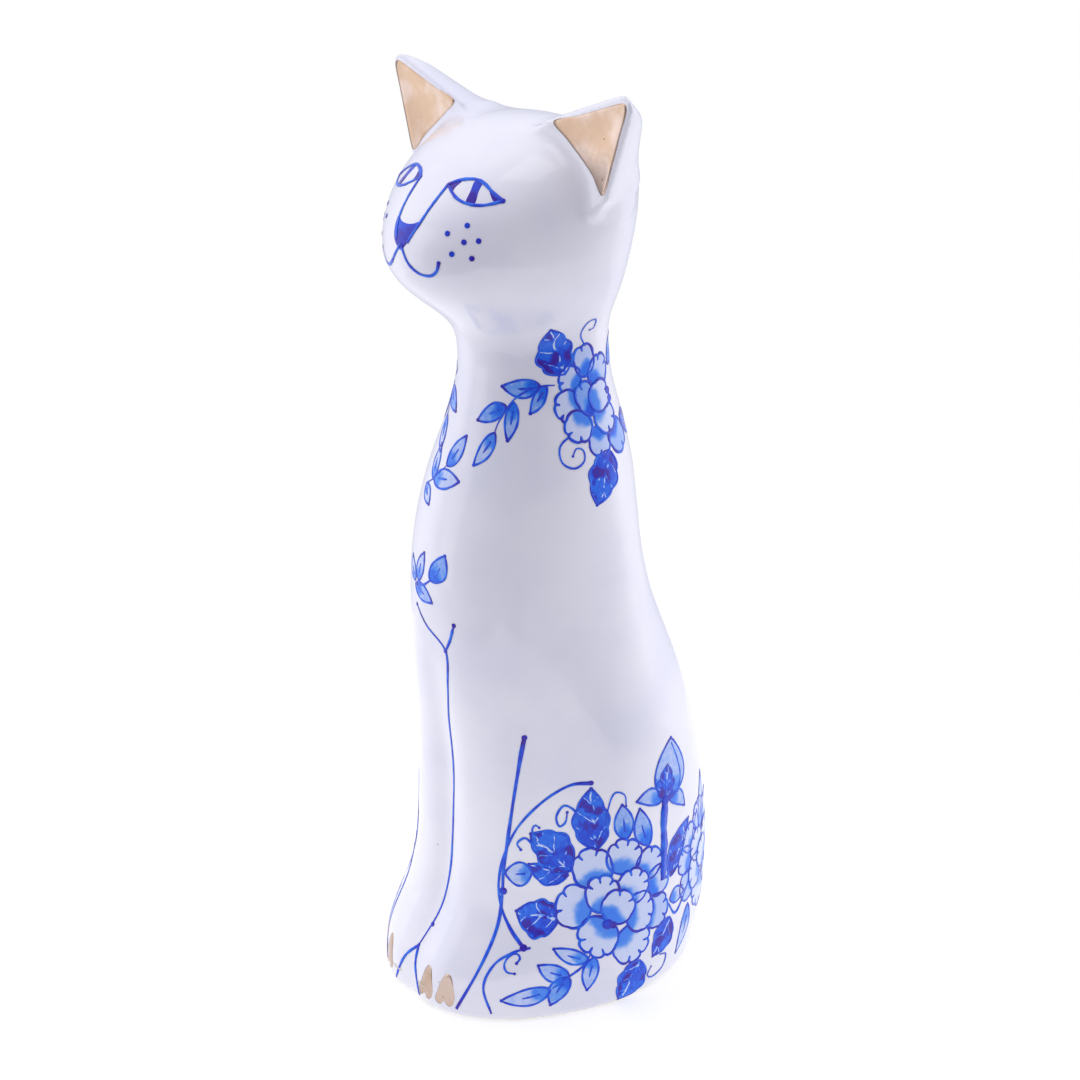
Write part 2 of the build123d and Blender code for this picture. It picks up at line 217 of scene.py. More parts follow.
@dataclass(frozen=True)
class CatForm:
    """The whole glazed outside of the cat as one smooth implicit form, in millimetres."""

    ear: EarForm = EarForm()
    tail: TailForm = TailForm()
    spacing: float = 0.5
    softness: float = 4.5
    dome_start: float = 262.0
    dome_height: float = 26.8
    dome_power: float = 2.25
    seam: float = 12.0
    crease_width: float = 7.0
    hollow_angle: float = 58.0
    hollow_width: float = 20.0
    ear_fillet: float = 4.4
    ear_back_fillet: float = 5.0
    ear_flank_fillet: float = 3.5
    tail_fillet: float = 2.0
    foot_round: float = 3.0
    foot_wall: float = 4.1
    foot_depth: float = 9.0
    recess_round: float = 0.8
    foot_zone: float = 30.0
    ear_zone: float = 255.0
    back_start: float = -10.0
    back_reach: float = 12.0
    flank_start: float = 4.0
    flank_reach: float = 8.0
    corner_share: float = 0.3

    def _columns(self) -> tuple[np.ndarray, np.ndarray]:
        """Resampled, softened station columns and their heights.

        Returns:
            The columns of the stations at close heights, and those heights.
        """
        table = np.array(STATIONS)
        heights = np.arange(-30.0, 325.0, self.spacing)
        kernel_at = np.arange(-4.0 * self.softness, 4.0 * self.softness + self.spacing, self.spacing)
        kernel = np.exp(-0.5 * (kernel_at / self.softness) ** 2)
        kernel /= kernel.sum()
        columns = []
        for index in range(1, table.shape[1]):
            raw = np.interp(heights, table[:, 0], table[:, index])
            padded = np.pad(raw, len(kernel) // 2, mode="edge")
            columns.append(np.convolve(padded, kernel, mode="valid")[: len(heights)])
        return heights, np.array(columns)

    def trunk(self, p: np.ndarray) -> np.ndarray:
        """Torso, neck and skull without ears or tail.

        Args:
            p: Points in millimetres, one row each.

        Returns:
            One value for each point, negative inside.
        """
        heights, columns = self._columns()
        x, y, z = p[:, 0], p[:, 1], p[:, 2]
        half, front, back, centre, crease, hollow, sharp = (np.interp(z, heights, c) for c in columns)
        dy = y - centre
        forward = 0.5 * (1.0 - np.tanh(dy / self.seam))
        depth = forward * front + (1.0 - forward) * back
        ahead = np.where(dy < 0.0, 1.0 - np.exp(-((dy / self.seam) ** 2)), 0.0)
        power = 1.0 + (sharp - 1.0) * ahead
        q = np.sqrt((x / half) ** 2 + (np.abs(dy) / depth) ** (2.0 / power))
        above = np.maximum(z - self.dome_start, 0.0)
        q = (q**self.dome_power + (above / self.dome_height) ** self.dome_power) ** (1.0 / self.dome_power)
        reach = np.sqrt(x**2 + dy**2 + above**2)
        turn = np.degrees(np.arctan2(np.abs(x) / half, -dy / front))
        groove = crease * np.exp(-((x / self.crease_width) ** 2)) * forward
        groove = groove + hollow * np.exp(-(((turn - self.hollow_angle) / self.hollow_width) ** 2))
        return reach * (1.0 - 1.0 / np.maximum(q, 0.02)) + groove

    def field(self, p: np.ndarray) -> np.ndarray:
        """Signed distance-like value of the finished cat at points, negative inside.

        Args:
            p: Points in millimetres, one row each.

        Returns:
            One value for each point.
        """
        value = self.trunk(p)
        high = p[:, 2] > self.ear_zone
        near = np.column_stack([np.abs(p[high, 0]), p[high, 1:]])
        # The fillet round an ear is tight in front, and wide at the back and on the flank.
        behind = np.clip((near[:, 1] - self.back_start) / self.back_reach, 0.0, 1.0)
        aside = np.clip((near[:, 0] - self.ear.root[0] - self.flank_start) / self.flank_reach, 0.0, 1.0)
        fillet = self.ear_fillet + self.ear_back_fillet * np.maximum(behind, self.corner_share * aside)
        fillet += self.ear_flank_fillet * behind * aside
        value[high] = smooth_union(value[high], self.ear.field(near), fillet)
        low = p[:, 2] < self.foot_zone
        value[low] = smooth_union(value[low], self.tail.field(p[low]), self.tail_fillet)
        value[low] = round_cut(value[low], -p[low, 2], self.foot_round)
        return value

    def shell(self, p: np.ndarray) -> np.ndarray:
        """The finished cat with the recess under its foot taken out.

        Args:
            p: Points in millimetres, one row each.

        Returns:
            One value for each point, negative inside.
        """
        value = self.field(p)
        low = p[:, 2] < self.foot_zone
        near = p[low]
        hollow = self.trunk(near) + self.foot_wall
        recess = round_cut(hollow, near[:, 2] - self.foot_depth, self.recess_round)
        value[low] = np.maximum(value[low], -recess)
        return value

    def normals(self, p: np.ndarray, hollow: bool = False) -> np.ndarray:
        """Outward unit normals at points, from central differences.

        Args:
            p: Points in millimetres, one row each.
            hollow: Whether the recess under the foot counts.

        Returns:
            One unit normal for each point.
        """
        source = self.shell if hollow else self.field
        steps = np.eye(3) * PROBE
        slope = np.stack([(source(p + step) - source(p - step)) / (2 * PROBE) for step in steps], axis=1)
        return slope / np.maximum(np.linalg.norm(slope, axis=1, keepdims=True), 1e-9)

    def settle(self, p: np.ndarray) -> np.ndarray:
        """Moves points that are near the surface onto it.

        Args:
            p: Points in millimetres, one row each.

        Returns:
            The moved points.
        """
        for _ in range(3):
            normal = self.normals(p, hollow=True)
            rise = self.shell(p + normal * PROBE) - self.shell(p - normal * PROBE)
            slope = np.maximum(rise / (2 * PROBE), LEAST_SLOPE)
            p = p - normal * (self.shell(p) / slope)[:, None]
        return p

    def trace(self, start: np.ndarray, inward: np.ndarray) -> np.ndarray:
        """Follows rays from outside until they meet the surface.

        Args:
            start: Points outside the cat, in millimetres.
            inward: Unit directions that lead to the surface.

        Returns:
            The first points of the surface along the rays.
        """
        travelled = np.zeros(len(start))
        for _ in range(RAY_STEPS):
            gap = self.field(start + inward * travelled[:, None])
            travelled += np.clip(gap * RAY_SHARE, *RAY_LIMITS)
        return start + inward * travelled[:, None]


# ---- wraps: flat drawing coordinates laid onto the form ----------------------------------------
@dataclass(frozen=True)
class BodyWrap:
    """Unrolls the body round an upright axis; s runs to the cat's back from `turn` degrees."""

    axis_y: float
    radius: float
    turn: float
    side: Side = Side.LEFT
    outside: float = 85.0

    def rays(self, flat: np.ndarray) -> tuple[np.ndarray, np.ndarray]:
        """Starting points and inward directions for flat (s, z) points.

        Args:
            flat: Points on the flat drawing in millimetres, one row each.

        Returns:
            The starting points and the directions.
        """
        angle = np.radians(self.turn) + flat[:, 0] / self.radius
        zero = np.zeros(len(flat))
        outward = np.stack([np.sin(angle) * self.side.value, -np.cos(angle), zero], axis=1)
        axis = np.stack([zero, zero + self.axis_y, flat[:, 1]], axis=1)
        return axis + outward * self.outside, -outward


@dataclass(frozen=True)
class EarWrap:
    """Coordinates across and up the front of an ear, seen from straight ahead."""

    ear: EarForm
    side: Side = Side.LEFT
    ahead: float = -45.0

    def rays(self, flat: np.ndarray) -> tuple[np.ndarray, np.ndarray]:
        """Starting points and inward directions for flat (across, up) points.

        Args:
            flat: Points on the flat drawing in millimetres, one row each.

        Returns:
            The starting points and the directions.
        """
        at = self.ear.root + flat[:, :1] * np.array(self.ear.across) + flat[:, 1:] * np.array(self.ear.up)
        at[:, 1] = self.ahead
        at[:, 0] *= self.side.value
        return at, np.tile([0.0, 1.0, 0.0], (len(flat), 1))


Wrap = BodyWrap | EarWrap


# ---- drawn shapes ------------------------------------------------------------------------------
def curve_through(points: Sequence[Point], closed: bool, spacing: float = 0.8) -> np.ndarray:
    """A smooth line through points, as evenly spaced flat points.

    Args:
        points: Points that the line passes.
        closed: Whether the line comes back to its start.
        spacing: Distance between the new points.

    Returns:
        The new points, one row each.
    """
    p = np.array(points, dtype=float)
    count = len(p)
    if closed:
        p = np.vstack([p[-1], p, p[0], p[1]])
    else:
        p = np.vstack([2 * p[0] - p[1], p, 2 * p[-1] - p[-2]])
        count -= 1
    pieces = []
    for i in range(count):
        p0, p1, p2, p3 = p[i : i + 4]
        t = np.linspace(0.0, 1.0, 12, endpoint=False)[:, None]
        bend, twist = 2 * p0 - 5 * p1 + 4 * p2 - p3, 3 * p1 - p0 - 3 * p2 + p3
        pieces.append(0.5 * (2 * p1 + (p2 - p0) * t + bend * t**2 + twist * t**3))
    if not closed:
        pieces.append(p[-2:-1])
    dense = np.vstack(pieces + ([pieces[0][:1]] if closed else []))
    lengths = np.concatenate([[0.0], np.cumsum(np.linalg.norm(np.diff(dense, axis=0), axis=1))])
    number = max(4, int(lengths[-1] / spacing) + 1)
    at = np.linspace(0.0, lengths[-1], number + (1 if closed else 0))
    if closed:
        at = at[:-1]
    return np.stack([np.interp(at, lengths, dense[:, k]) for k in range(2)], axis=1)


@dataclass(frozen=True)
class Patch:
    """A filled area of wash or gold.

    The outline is star-shaped round the centre. `along` and `across` are two unit-like
    axes that give the brush coordinates used by the wash materials.
    """

    outline: np.ndarray
    centre: Point
    along: tuple[float, float, float, float]
    brush: Brush
    layer: int
    tone: float

    def brush_coordinates(self, flat: np.ndarray) -> np.ndarray:
        """0 at the base to 1 at the tip, and -1 to 1 from edge to edge.

        Args:
            flat: Points on the flat drawing in millimetres, one row each.

        Returns:
            Two values for each point.
        """
        base_s, base_z, tip_s, tip_z = self.along
        axis = np.array([tip_s - base_s, tip_z - base_z])
        length = float(np.hypot(*axis))
        unit = axis / length
        normal = np.array([-unit[1], unit[0]])
        offset = flat - np.array([base_s, base_z])
        width = max(1.0, float(np.abs((self.outline - np.array([base_s, base_z])) @ normal).max()))
        return np.stack([offset @ unit / length, offset @ normal / width], axis=1)


@dataclass(frozen=True)
class Line:
    """One brush stroke: flat points with a width at each, closed or open."""

    points: np.ndarray
    width: np.ndarray
    closed: bool
    layer: int
    pool: np.ndarray


@dataclass(frozen=True)
class Dot:
    """A touch of the loaded brush."""

    at: Point
    radius: float
    layer: int


@dataclass(frozen=True)
class Drawing:
    """Everything drawn on one area of the glaze."""

    patches: tuple[Patch, ...] = ()
    lines: tuple[Line, ...] = ()
    dots: tuple[Dot, ...] = ()

    def plus(self, *others: "Drawing") -> "Drawing":
        """This drawing and the others together.

        Args:
            others: Drawings that come after this one.

        Returns:
            One drawing with all patches, lines and dots.
        """
        every = (self, *others)
        return Drawing(
            tuple(p for d in every for p in d.patches),
            tuple(line for d in every for line in d.lines),
            tuple(dot for d in every for dot in d.dots),
        )


def stroke(
    points: Sequence[Point],
    width: float = 1.1,
    layer: int = 4,
    closed: bool = False,
    taper: tuple[float, float] = (0.6, 0.6),
    ends: tuple[float, float] = (0.0, 0.0),
) -> Drawing:
    """A brush line.

    Args:
        points: Flat points the line passes through.
        width: Width in the middle of the line.
        layer: Height above the glaze, in layers.
        closed: Whether the line returns to its start.
        taper: Width at both ends over the width in the middle.
        ends: Radius of the pool of colour left at both ends.

    Returns:
        The line with its pools.
    """
    flat = curve_through(points, closed)
    share = np.linspace(0.0, 1.0, len(flat))
    wander = 1.0 + 0.1 * np.sin(share * 19.0 + points[0][0]) + 0.06 * np.sin(share * 43.0 + points[0][1])
    if closed:
        widths = width * wander
        pool = 0.5 + 0.5 * np.sin(share * 6.283 + points[0][0] * 1.7)
    else:
        fade_in = taper[0] + (1.0 - taper[0]) * np.clip(share / 0.25, 0.0, 1.0)
        fade_out = taper[1] + (1.0 - taper[1]) * np.clip((1.0 - share) / 0.25, 0.0, 1.0)
        widths = width * wander * fade_in * fade_out
        pool = np.exp(-((share / 0.08) ** 2)) + np.exp(-(((1.0 - share) / 0.08) ** 2))
    dots = [Dot(tuple(flat[i]), r, layer) for i, r in zip((0, -1), ends) if r > 0.0]
    return Drawing(lines=(Line(flat, widths, closed, layer, pool),), dots=tuple(dots))


def spots(points: Iterable[Point], radius: float, layer: int = 4) -> Drawing:
    """Round touches of the brush."""
    return Drawing(dots=tuple(Dot(p, radius, layer) for p in points))


@dataclass(frozen=True)
class Petal:
    """A peony petal: round, with lobes on its outer edge and a deeper wash at its base."""

    centre: Point
    out: float
    half_length: float
    half_width: float
    lobes: int = 3
    layer: int = 1
    tone: float = 0.0
    notch: float = 0.15
    line: float = 1.0
    rim_points: int = 56

    def _rim(self, angle: np.ndarray) -> np.ndarray:
        """Distance of the edge from the centre at angles from the outward direction.

        Args:
            angle: Angles in radians.

        Returns:
            One distance for each angle.
        """
        wave = 2.3
        long, wide = np.abs(np.cos(angle)) / self.half_length, np.abs(np.sin(angle)) / self.half_width
        plain = (long**wave + wide**wave) ** (-1.0 / wave)
        folded = (angle + math.pi) % (2 * math.pi) - math.pi
        span = np.clip(folded / LOBE_REACH, -1.0, 1.0)
        scallop = 1.0 - np.abs(np.sin(self.lobes * math.pi * (span + 1.0) / 2.0))
        window = np.clip((1.0 - np.abs(span)) * 6.0, 0.0, 1.0)
        return plain * (1.0 - self.notch * scallop**2.2 * window)

    def draw(self) -> Drawing:
        """The wash, the outline and the short marks inside the notches.

        Returns:
            The drawing, flat, in millimetres.
        """
        turn = math.radians(self.out)
        angle = np.linspace(-math.pi, math.pi, self.rim_points, endpoint=False)
        centre = np.array(self.centre)
        around = np.stack([np.cos(angle + turn), np.sin(angle + turn)], axis=1)
        outline = centre + around * self._rim(angle)[:, None]
        forward = np.array([math.cos(turn), math.sin(turn)])
        base = centre - forward * self.half_length
        tip = centre + forward * self.half_length
        patch = Patch(outline, self.centre, (*base, *tip), Brush.PETAL, self.layer, self.tone)
        wander = 1.0 + 0.14 * np.sin(angle * 3.0 + self.centre[0])
        wander += 0.1 * np.sin(angle * 7.0 + self.centre[1])
        pool = 0.5 + 0.5 * np.sin(angle * 2.0 + self.centre[0] * 2.3)
        drawn = Drawing((patch,), (Line(outline, self.line * wander, True, self.layer, pool),))
        drops = (self.line * 0.62, self.line * 0.34)
        for k in range(1, self.lobes):
            at = (-1.0 + 2.0 * k / self.lobes) * LOBE_REACH
            edge = self._rim(np.array([at]))[0]
            way = np.array([math.cos(at + turn), math.sin(at + turn)])
            ends = [tuple(centre + way * edge * 1.02), tuple(centre + way * edge * 0.74)]
            drawn = drawn.plus(stroke(ends, self.line * 1.1, self.layer, taper=(1.2, 0.5), ends=drops))
        return drawn


@dataclass(frozen=True)
class Leaf:
    """A leaf from base to tip, with a bend to one side."""

    base: Point
    tip: Point
    half_width: float
    bend: float = 0.0
    brush: Brush = Brush.LEAF
    layer: int = 1
    tone: float = 0.0
    frill: float = 0.0
    line: float = 0.85
    vein: bool = True

    def draw(self) -> Drawing:
        """The wash, the outline and a short vein from the base.

        Returns:
            The drawing, flat, in millimetres.
        """
        base = np.array(self.base, dtype=float)
        tip = np.array(self.tip, dtype=float)
        axis = tip - base
        length = float(np.hypot(*axis))
        unit = axis / length
        normal = np.array([-unit[1], unit[0]])
        u = np.linspace(0.0, 1.0, 26)
        profile = np.sin(math.pi * u**0.85) ** 0.8
        edge_frill = 1.0 + self.frill * (np.abs(np.sin(3.0 * math.pi * u)) - 0.5)
        spine = base + u[:, None] * axis + normal * (self.bend * 4.0 * u * (1.0 - u))[:, None]
        reach = (self.half_width * profile * edge_frill)[:, None]
        left = spine + normal * reach
        right = spine - normal * reach * (1.0 - 0.5 * self.frill)
        outline = np.vstack([left, right[-2:0:-1]])
        centre = tuple(spine[13])
        patch = Patch(outline, centre, (*base, *tip), self.brush, self.layer, self.tone)
        share = np.concatenate([u, u[-2:0:-1]])
        width = self.line * (1.0 + 0.12 * np.sin(share * 17.0 + base[0]))
        pool = np.exp(-(((1.0 - share) / 0.12) ** 2)) + 0.6 * np.exp(-((share / 0.1) ** 2))
        drawn = Drawing((patch,), (Line(outline, width, True, self.layer, pool),))
        drawn = drawn.plus(spots([self.tip], self.line * 0.75, self.layer))
        if self.vein and self.brush is Brush.LEAF:
            vein = [tuple(spine[i]) for i in (6, 11, 15)]
            drawn = drawn.plus(stroke(vein, self.line, self.layer, taper=(0.9, 0.4)))
        return drawn


def curl(points: Sequence[Point], width: float = 0.8, layer: int = 2) -> Drawing:
    """A tendril that thins towards its curled end."""
    return stroke(points, width, layer, taper=(0.9, 0.6), ends=(0.0, width * 0.6))


def bloom(petals: Sequence[Petal]) -> Drawing:
    """A flower from its petals, the hindmost first."""
    return Drawing().plus(*(petal.draw() for petal in petals))


def moved(petals: Sequence[Petal], shift: Point, scale: float, flip: bool = False) -> list[Petal]:
    """The same petals at another place and size.

    Args:
        petals: The petals to copy.
        shift: How far they move, across and up.
        scale: New size as a share of the old one.
        flip: Whether they are mirrored from side to side.

    Returns:
        The copies, in the same order.
    """
    sign = -1.0 if flip else 1.0
    return [
        replace(
            petal,
            centre=(sign * petal.centre[0] * scale + shift[0], petal.centre[1] * scale + shift[1]),
            out=180.0 - petal.out if flip else petal.out,
            half_length=petal.half_length * scale,
            half_width=petal.half_width * scale,
            line=petal.line * 0.9,
        )
        for petal in petals
    ]


HAUNCH_PETALS: tuple[Petal, ...] = (
    Petal((21, 30), -8, 5.6, 6.2, 3, 1, 0.12),
    Petal((22, 41), 25, 5.4, 5.6, 3, 1, 0.08),
    Petal((18.3, 49), 45, 5.6, 5.8, 3, 1, 0.04),
    Petal((8, 54), 74, 6.4, 6.6, 4, 1, 0),
    Petal((-4, 51), 105, 7.2, 7.4, 3, 1, 0),
    Petal((9.6, 22), -55, 6.6, 7.6, 4, 1, 0),
    Petal((-11.2, 38), 160, 6.7, 7.5, 3, 2, 0),
    Petal((-2.8, 26.8), -125, 6.6, 7.4, 4, 2, 0),
    Petal((13.6, 32.5), 0, 5.8, 7.2, 3, 2, 0.02),
    Petal((11.2, 42.6), 52, 6.2, 6.4, 4, 2, 0),
    Petal((-0.4, 41.6), 100, 6.6, 6.2, 4, 3, 0),
    Petal((5.2, 36.4), 50, 6, 6.2, 3, 4, 0.03),
)

NECK_PETALS: tuple[Petal, ...] = (
    Petal((10.5, 191.5), -60, 5.2, 5, 2, 1, 0.2, 0.16),
    Petal((-1, 217), 110, 5.2, 4.4, 2, 1, 0.1),
    Petal((-7, 211.6), 160, 4.4, 4.4, 3, 1, 0.05),
    Petal((6, 212.5), 60, 5.4, 5, 3, 1, 0.1),
    Petal((1.6, 191.8), -95, 4.4, 4.2, 2, 1, 0.1),
    Petal((-8.6, 203.8), -160, 4.6, 4.8, 3, 2, 0),
    Petal((6.2, 198.4), -50, 5, 5, 3, 2, 0),
    Petal((-5.4, 197.4), -120, 4.6, 4.9, 3, 3, 0),
    Petal((-0.9, 205.2), 120, 5.4, 4.2, 2, 3, 0.25),
    Petal((5.2, 205), 20, 5.2, 4.6, 2, 4, 0),
)


@dataclass(frozen=True)
class HaunchSpray:
    """The peony on a haunch with its leaves, tendrils, bud and the arc above it."""

    low_limit: float

    def _leaves(self) -> list[Leaf]:
        """Leaves behind the flower, from the front of the haunch to the back.

        Returns:
            The leaves in the order they are painted.
        """
        dark = Brush.DARK
        return [
            Leaf((-16.5, 34), (-31.5, 37.5), 6.6, 0.6, dark, frill=0.16),
            Leaf((-2.5, 57.5), (-4, 79.5), 6.9, 0.8, dark, frill=0.16),
            Leaf((-12, 50.5), (-27, 65), 6.8, -1.6, dark, frill=0.18),
            Leaf((-13, 49), (-27.5, 54), 3.6, 1.6, dark, frill=0.1),
            Leaf((12.5, 14.5), (4.5, 1.2), 6.2, 0.8, dark, frill=0.16),
            Leaf((27.5, 24.5), (18.5, 13.5), 5.2, 0.6, dark, frill=0.16),
            Leaf((28.5, 39.5), (41, 56), 4.6, 2.2, dark, frill=0.12),
            Leaf((-26.5, 51), (-36, 50.5), 4.2, 0.3, tone=0.05),
            Leaf((8.5, 60), (7.5, 72.5), 3.6, 0, tone=0.15),
            Leaf((18, 55.5), (14.5, 69.5), 3.6, 0.8, tone=0.15),
            Leaf((-6.5, 19.5), (-18.5, 24.3), 2.3, 0.6),
            Leaf((-4.5, 20), (-7.5, 9), 2.7, -0.4, tone=0.08),
            Leaf((-13.5, 15), (-23.5, 19.6), 2.7, 0.8, tone=0.1),
            Leaf((-13.5, 14.5), (-19.6, 5.6), 3.1, -0.8, tone=0.22),
            Leaf((-19.5, 11), (-34, 8.4), 3, 0.6, tone=0.05),
            Leaf((28, 31), (36.5, 30.5), 2.8, 0.4, tone=0.04, vein=False),
            Leaf((39.5, 23.5), (32.5, 7.5), 3.2, 0.8, tone=0.04),
            Leaf((46.5, 38.5), (48.5, 55), 3, 0.6, tone=0.06),
            Leaf((52, 44.5), (56, 66), 2.6, 0.6, tone=0.02),
        ]

    def _bud(self) -> Drawing:
        """The closed bud that stands above the flower on a thick stem.

        Returns:
            The drawing, flat, in millimetres.
        """
        stem = stroke([(24.5, 40), (25.5, 52), (25.5, 60), (27, 69)], 3.6, 1, taper=(0.8, 1.2))
        sheath = Leaf((27.5, 68), (33.5, 88.5), 9, -1.2, layer=2, tone=0.1, vein=False).draw()
        heart = Leaf((27.3, 68), (29.5, 80.5), 5, 0, Brush.DARK, 3, frill=0.3, line=0.5, vein=False).draw()
        sepal_a = Leaf((24.8, 69.2), (13.5, 72.5), 2.9, -1.6, layer=2, tone=0.1, vein=False).draw()
        sepal_b = Leaf((29.5, 68.2), (38.5, 62), 2.6, 1.8, layer=2, tone=0.1, vein=False).draw()
        fold = stroke([(33.3, 87), (36, 80), (37, 74), (34.5, 68.5)], 0.9, 2)
        return stem.plus(sepal_a, sepal_b, sheath, heart, fold, spots([(27, 68.5)], 1.9, 3))

    def _tendrils(self) -> Drawing:
        """Thin curls between the leaves.

        Returns:
            The drawing, flat, in millimetres.
        """
        return Drawing().plus(
            curl([
                (-8, 66.5), (-10, 71.5), (-14.5, 74), (-17.5, 70.5), (-16.5, 66.8), (-14, 68),
                (-13.3, 71.5),
            ], 0.9),
            curl([(2, 62), (1.8, 70), (4.5, 77), (8.5, 76), (9, 72)], 0.7),
            curl([(-24, 57), (-26, 60.5), (-29, 63.5), (-31.8, 61.5), (-30.5, 59.3)], 0.9),
            curl([(-25, 62.5), (-26.5, 66), (-25.5, 68), (-24, 67)], 0.8),
            curl([(22, 12.5), (25.5, 11), (24.5, 6.5), (19.5, 4.8), (16.5, 6.5), (18, 9.5)], 0.7),
            stroke([(-6, 21), (-9, 17.5), (-13.5, 14.8), (-19, 11.5)], 0.9, 1),
            stroke([(27, 30), (31, 24.5), (38, 30), (44, 36)], 1.2, 1),
        )

    def _arc(self) -> Drawing:
        """The line over the haunch that comes out of the line of the foreleg.

        Returns:
            The drawing, flat, in millimetres.
        """
        return stroke(
            [
                (-4, 81.5), (-12.5, 81), (-23, 76), (-31.5, 67.5), (-36.5, 56.5), (-38.2, 46.5),
                (-36.8, 38.5), (-33.2, 31.5), (-28.5, 25.5),
            ],
            1, 1, taper=(1.5, 1.5), ends=(0.9, 1.3),
        )

    def draw(self) -> Drawing:
        """Leaves first, then the flower over them.

        Returns:
            The drawing, flat, in millimetres.
        """
        leaves = [leaf for leaf in self._leaves() if min(leaf.base[1], leaf.tip[1]) > self.low_limit]
        drawn = self._arc().plus(*(leaf.draw() for leaf in leaves), self._bud(), self._tendrils())
        drawn = drawn.plus(bloom(HAUNCH_PETALS), spots([
            (0.9, 30.8),
        ], 1.9, 4), spots([(2.8, 30.2)], 1.3, 4))
        far = moved(HAUNCH_PETALS, (58, 4), 0.9, flip=True)
        return drawn.plus(bloom(far), spots([(57.4, 31.8)], 1.7, 4))


@dataclass(frozen=True)
class NeckSpray:
    """The peony that climbs the side of the neck."""

    def draw(self) -> Drawing:
        """Leaves, tendrils and the flower.

        Returns:
            The drawing, flat, in millimetres.
        """
        dark = Brush.DARK
        leaves = [
            Leaf((-9, 213.5), (-14.8, 228.5), 6.6, 0.9, dark, frill=0.2),
            Leaf((4.5, 188.5), (-2.8, 173.5), 5.2, -0.5, dark, frill=0.18),
            Leaf((15.5, 196), (25, 188), 3.8, 0.8, dark, frill=0.16),
            Leaf((13, 213), (22, 222), 3.6, 0.8, tone=0.1),
        ]
        curls = Drawing().plus(
            curl([(-1, 221.5), (-3.5, 225.5), (-2, 229.5), (1, 230), (1.5, 227.2), (-0.2, 226.6)], 0.55),
            curl([
                (-3.5, 192.5), (-8, 195), (-12.2, 192.5), (-12, 187.8), (-8.5, 185.6), (-5.2, 187.2),
                (-5, 190.3), (-7.2, 191.2), (-8.6, 189.2),
            ], 0.75),
        )
        heart = spots([(9.8, 205.5), (10.2, 203)], 1.3, 4)
        return Drawing().plus(*(leaf.draw() for leaf in leaves), curls, bloom(NECK_PETALS), heart)


@dataclass(frozen=True)
class ChestGarland:
    """Small leaves on fine stems that fall across the chest to the forelegs."""

    def _half(self, sign: float) -> list[Leaf]:
        """The leaves on one side of the chest.

        Args:
            sign: 1 for the left side of the cat and -1 for its right.

        Returns:
            The leaves in the order they are painted.
        """
        rows = [
            ((35.5, 210.5), (17.5, 210.3), 3.2, 0.6, 0.22),
            ((38.8, 210.2), (31, 202.6), 3, -0.3, 0.2),
            ((20, 204.2), (7.5, 199.3), 3, -0.4, 0.2),
            ((23.2, 205.8), (22, 194.6), 3.3, 0.2, 0.15),
            ((16.4, 196.4), (10, 186.5), 3, 0.3, 0.05),
        ]
        return [
            Leaf((sign * b[0], b[1]), (sign * t[0], t[1]), w * 0.86, sign * bend, tone=tone)
            for b, t, w, bend, tone in rows
        ]

    def draw(self) -> Drawing:
        """Both sides, the leaves in the middle and the cluster above the forelegs.

        Returns:
            The drawing, flat, in millimetres.
        """
        drawn = Drawing()
        for sign in (1, -1):
            stem = [(43, 210.5), (36, 210.5), (28.5, 209), (22.5, 206), (17.5, 200), (16, 196)]
            drawn = drawn.plus(stroke([(sign * s, z) for s, z in stem], 0.7, 1))
            drawn = drawn.plus(*(leaf.draw() for leaf in self._half(sign)))
        middle = [
            Leaf((-2.5, 184), (3.4, 193.8), 2.9, -0.3, tone=0.1),
            Leaf((-8, 178.8), (5.4, 180.8), 2.9, 0.3, tone=0.02),
            Leaf((-8.5, 178.5), (-11, 188.5), 2.4, 0.3, tone=0),
            Leaf((-13, 175.5), (-6.5, 171), 2.2, 0.2, tone=0),
            Leaf((0.2, 148.8), (5.4, 158.2), 3.1, -0.9, tone=0.2),
            Leaf((-6.2, 146.6), (-3.8, 156.4), 2.1, 0.4, tone=0.05),
            Leaf((-8.2, 144.6), (1, 141.6), 2.7, 0.2, tone=0.12),
            Leaf((-8.5, 145.5), (-12.5, 152.5), 2.1, 0.3, tone=0),
        ]
        stems = Drawing().plus(
            stroke([(-2.5, 184), (-5.5, 181), (-9, 178), (-13.5, 175.5)], 0.6, 1),
            stroke([(0.2, 148.8), (-3, 146.2), (-6.8, 145)], 0.9, 1, ends=(0.5, 0.8)),
        )
        return drawn.plus(stems, *(leaf.draw() for leaf in middle))


@dataclass(frozen=True)
class ForelegLines:
    """The line that parts the forelegs and ends between the toes."""

    def draw(self) -> Drawing:
        """The forked line, its knots and the toes of both paws.

        Returns:
            The drawing, flat, in millimetres.
        """
        main = [
            (-7, 138), (-2, 132.5), (6, 126.5), (5.5, 113.5), (3.6, 99.5), (3, 82), (1.4, 66),
            (0.6, 52.5), (0.5, 37), (0.2, 29), (-0.6, 23), (-1.6, 17),
        ]
        drawn = stroke(main, 1.15, 1, ends=(0.7, 0.6))
        drawn = drawn.plus(
            stroke([(9.5, 136.5), (8, 131), (6, 126.5)], 1.2, 1, ends=(0.8, 0)),
            stroke([(-1.6, 17), (-4.5, 12), (-7, 2)], 1.1, 1, taper=(1, 0.7)),
            stroke([(-1.6, 17), (-0.6, 10), (2.4, 2.2)], 1.1, 1, taper=(1, 0.8), ends=(0, 0.7)),
            spots([(6, 126.5), (-0.2, 24)], 0.85, 1),
        )
        return drawn


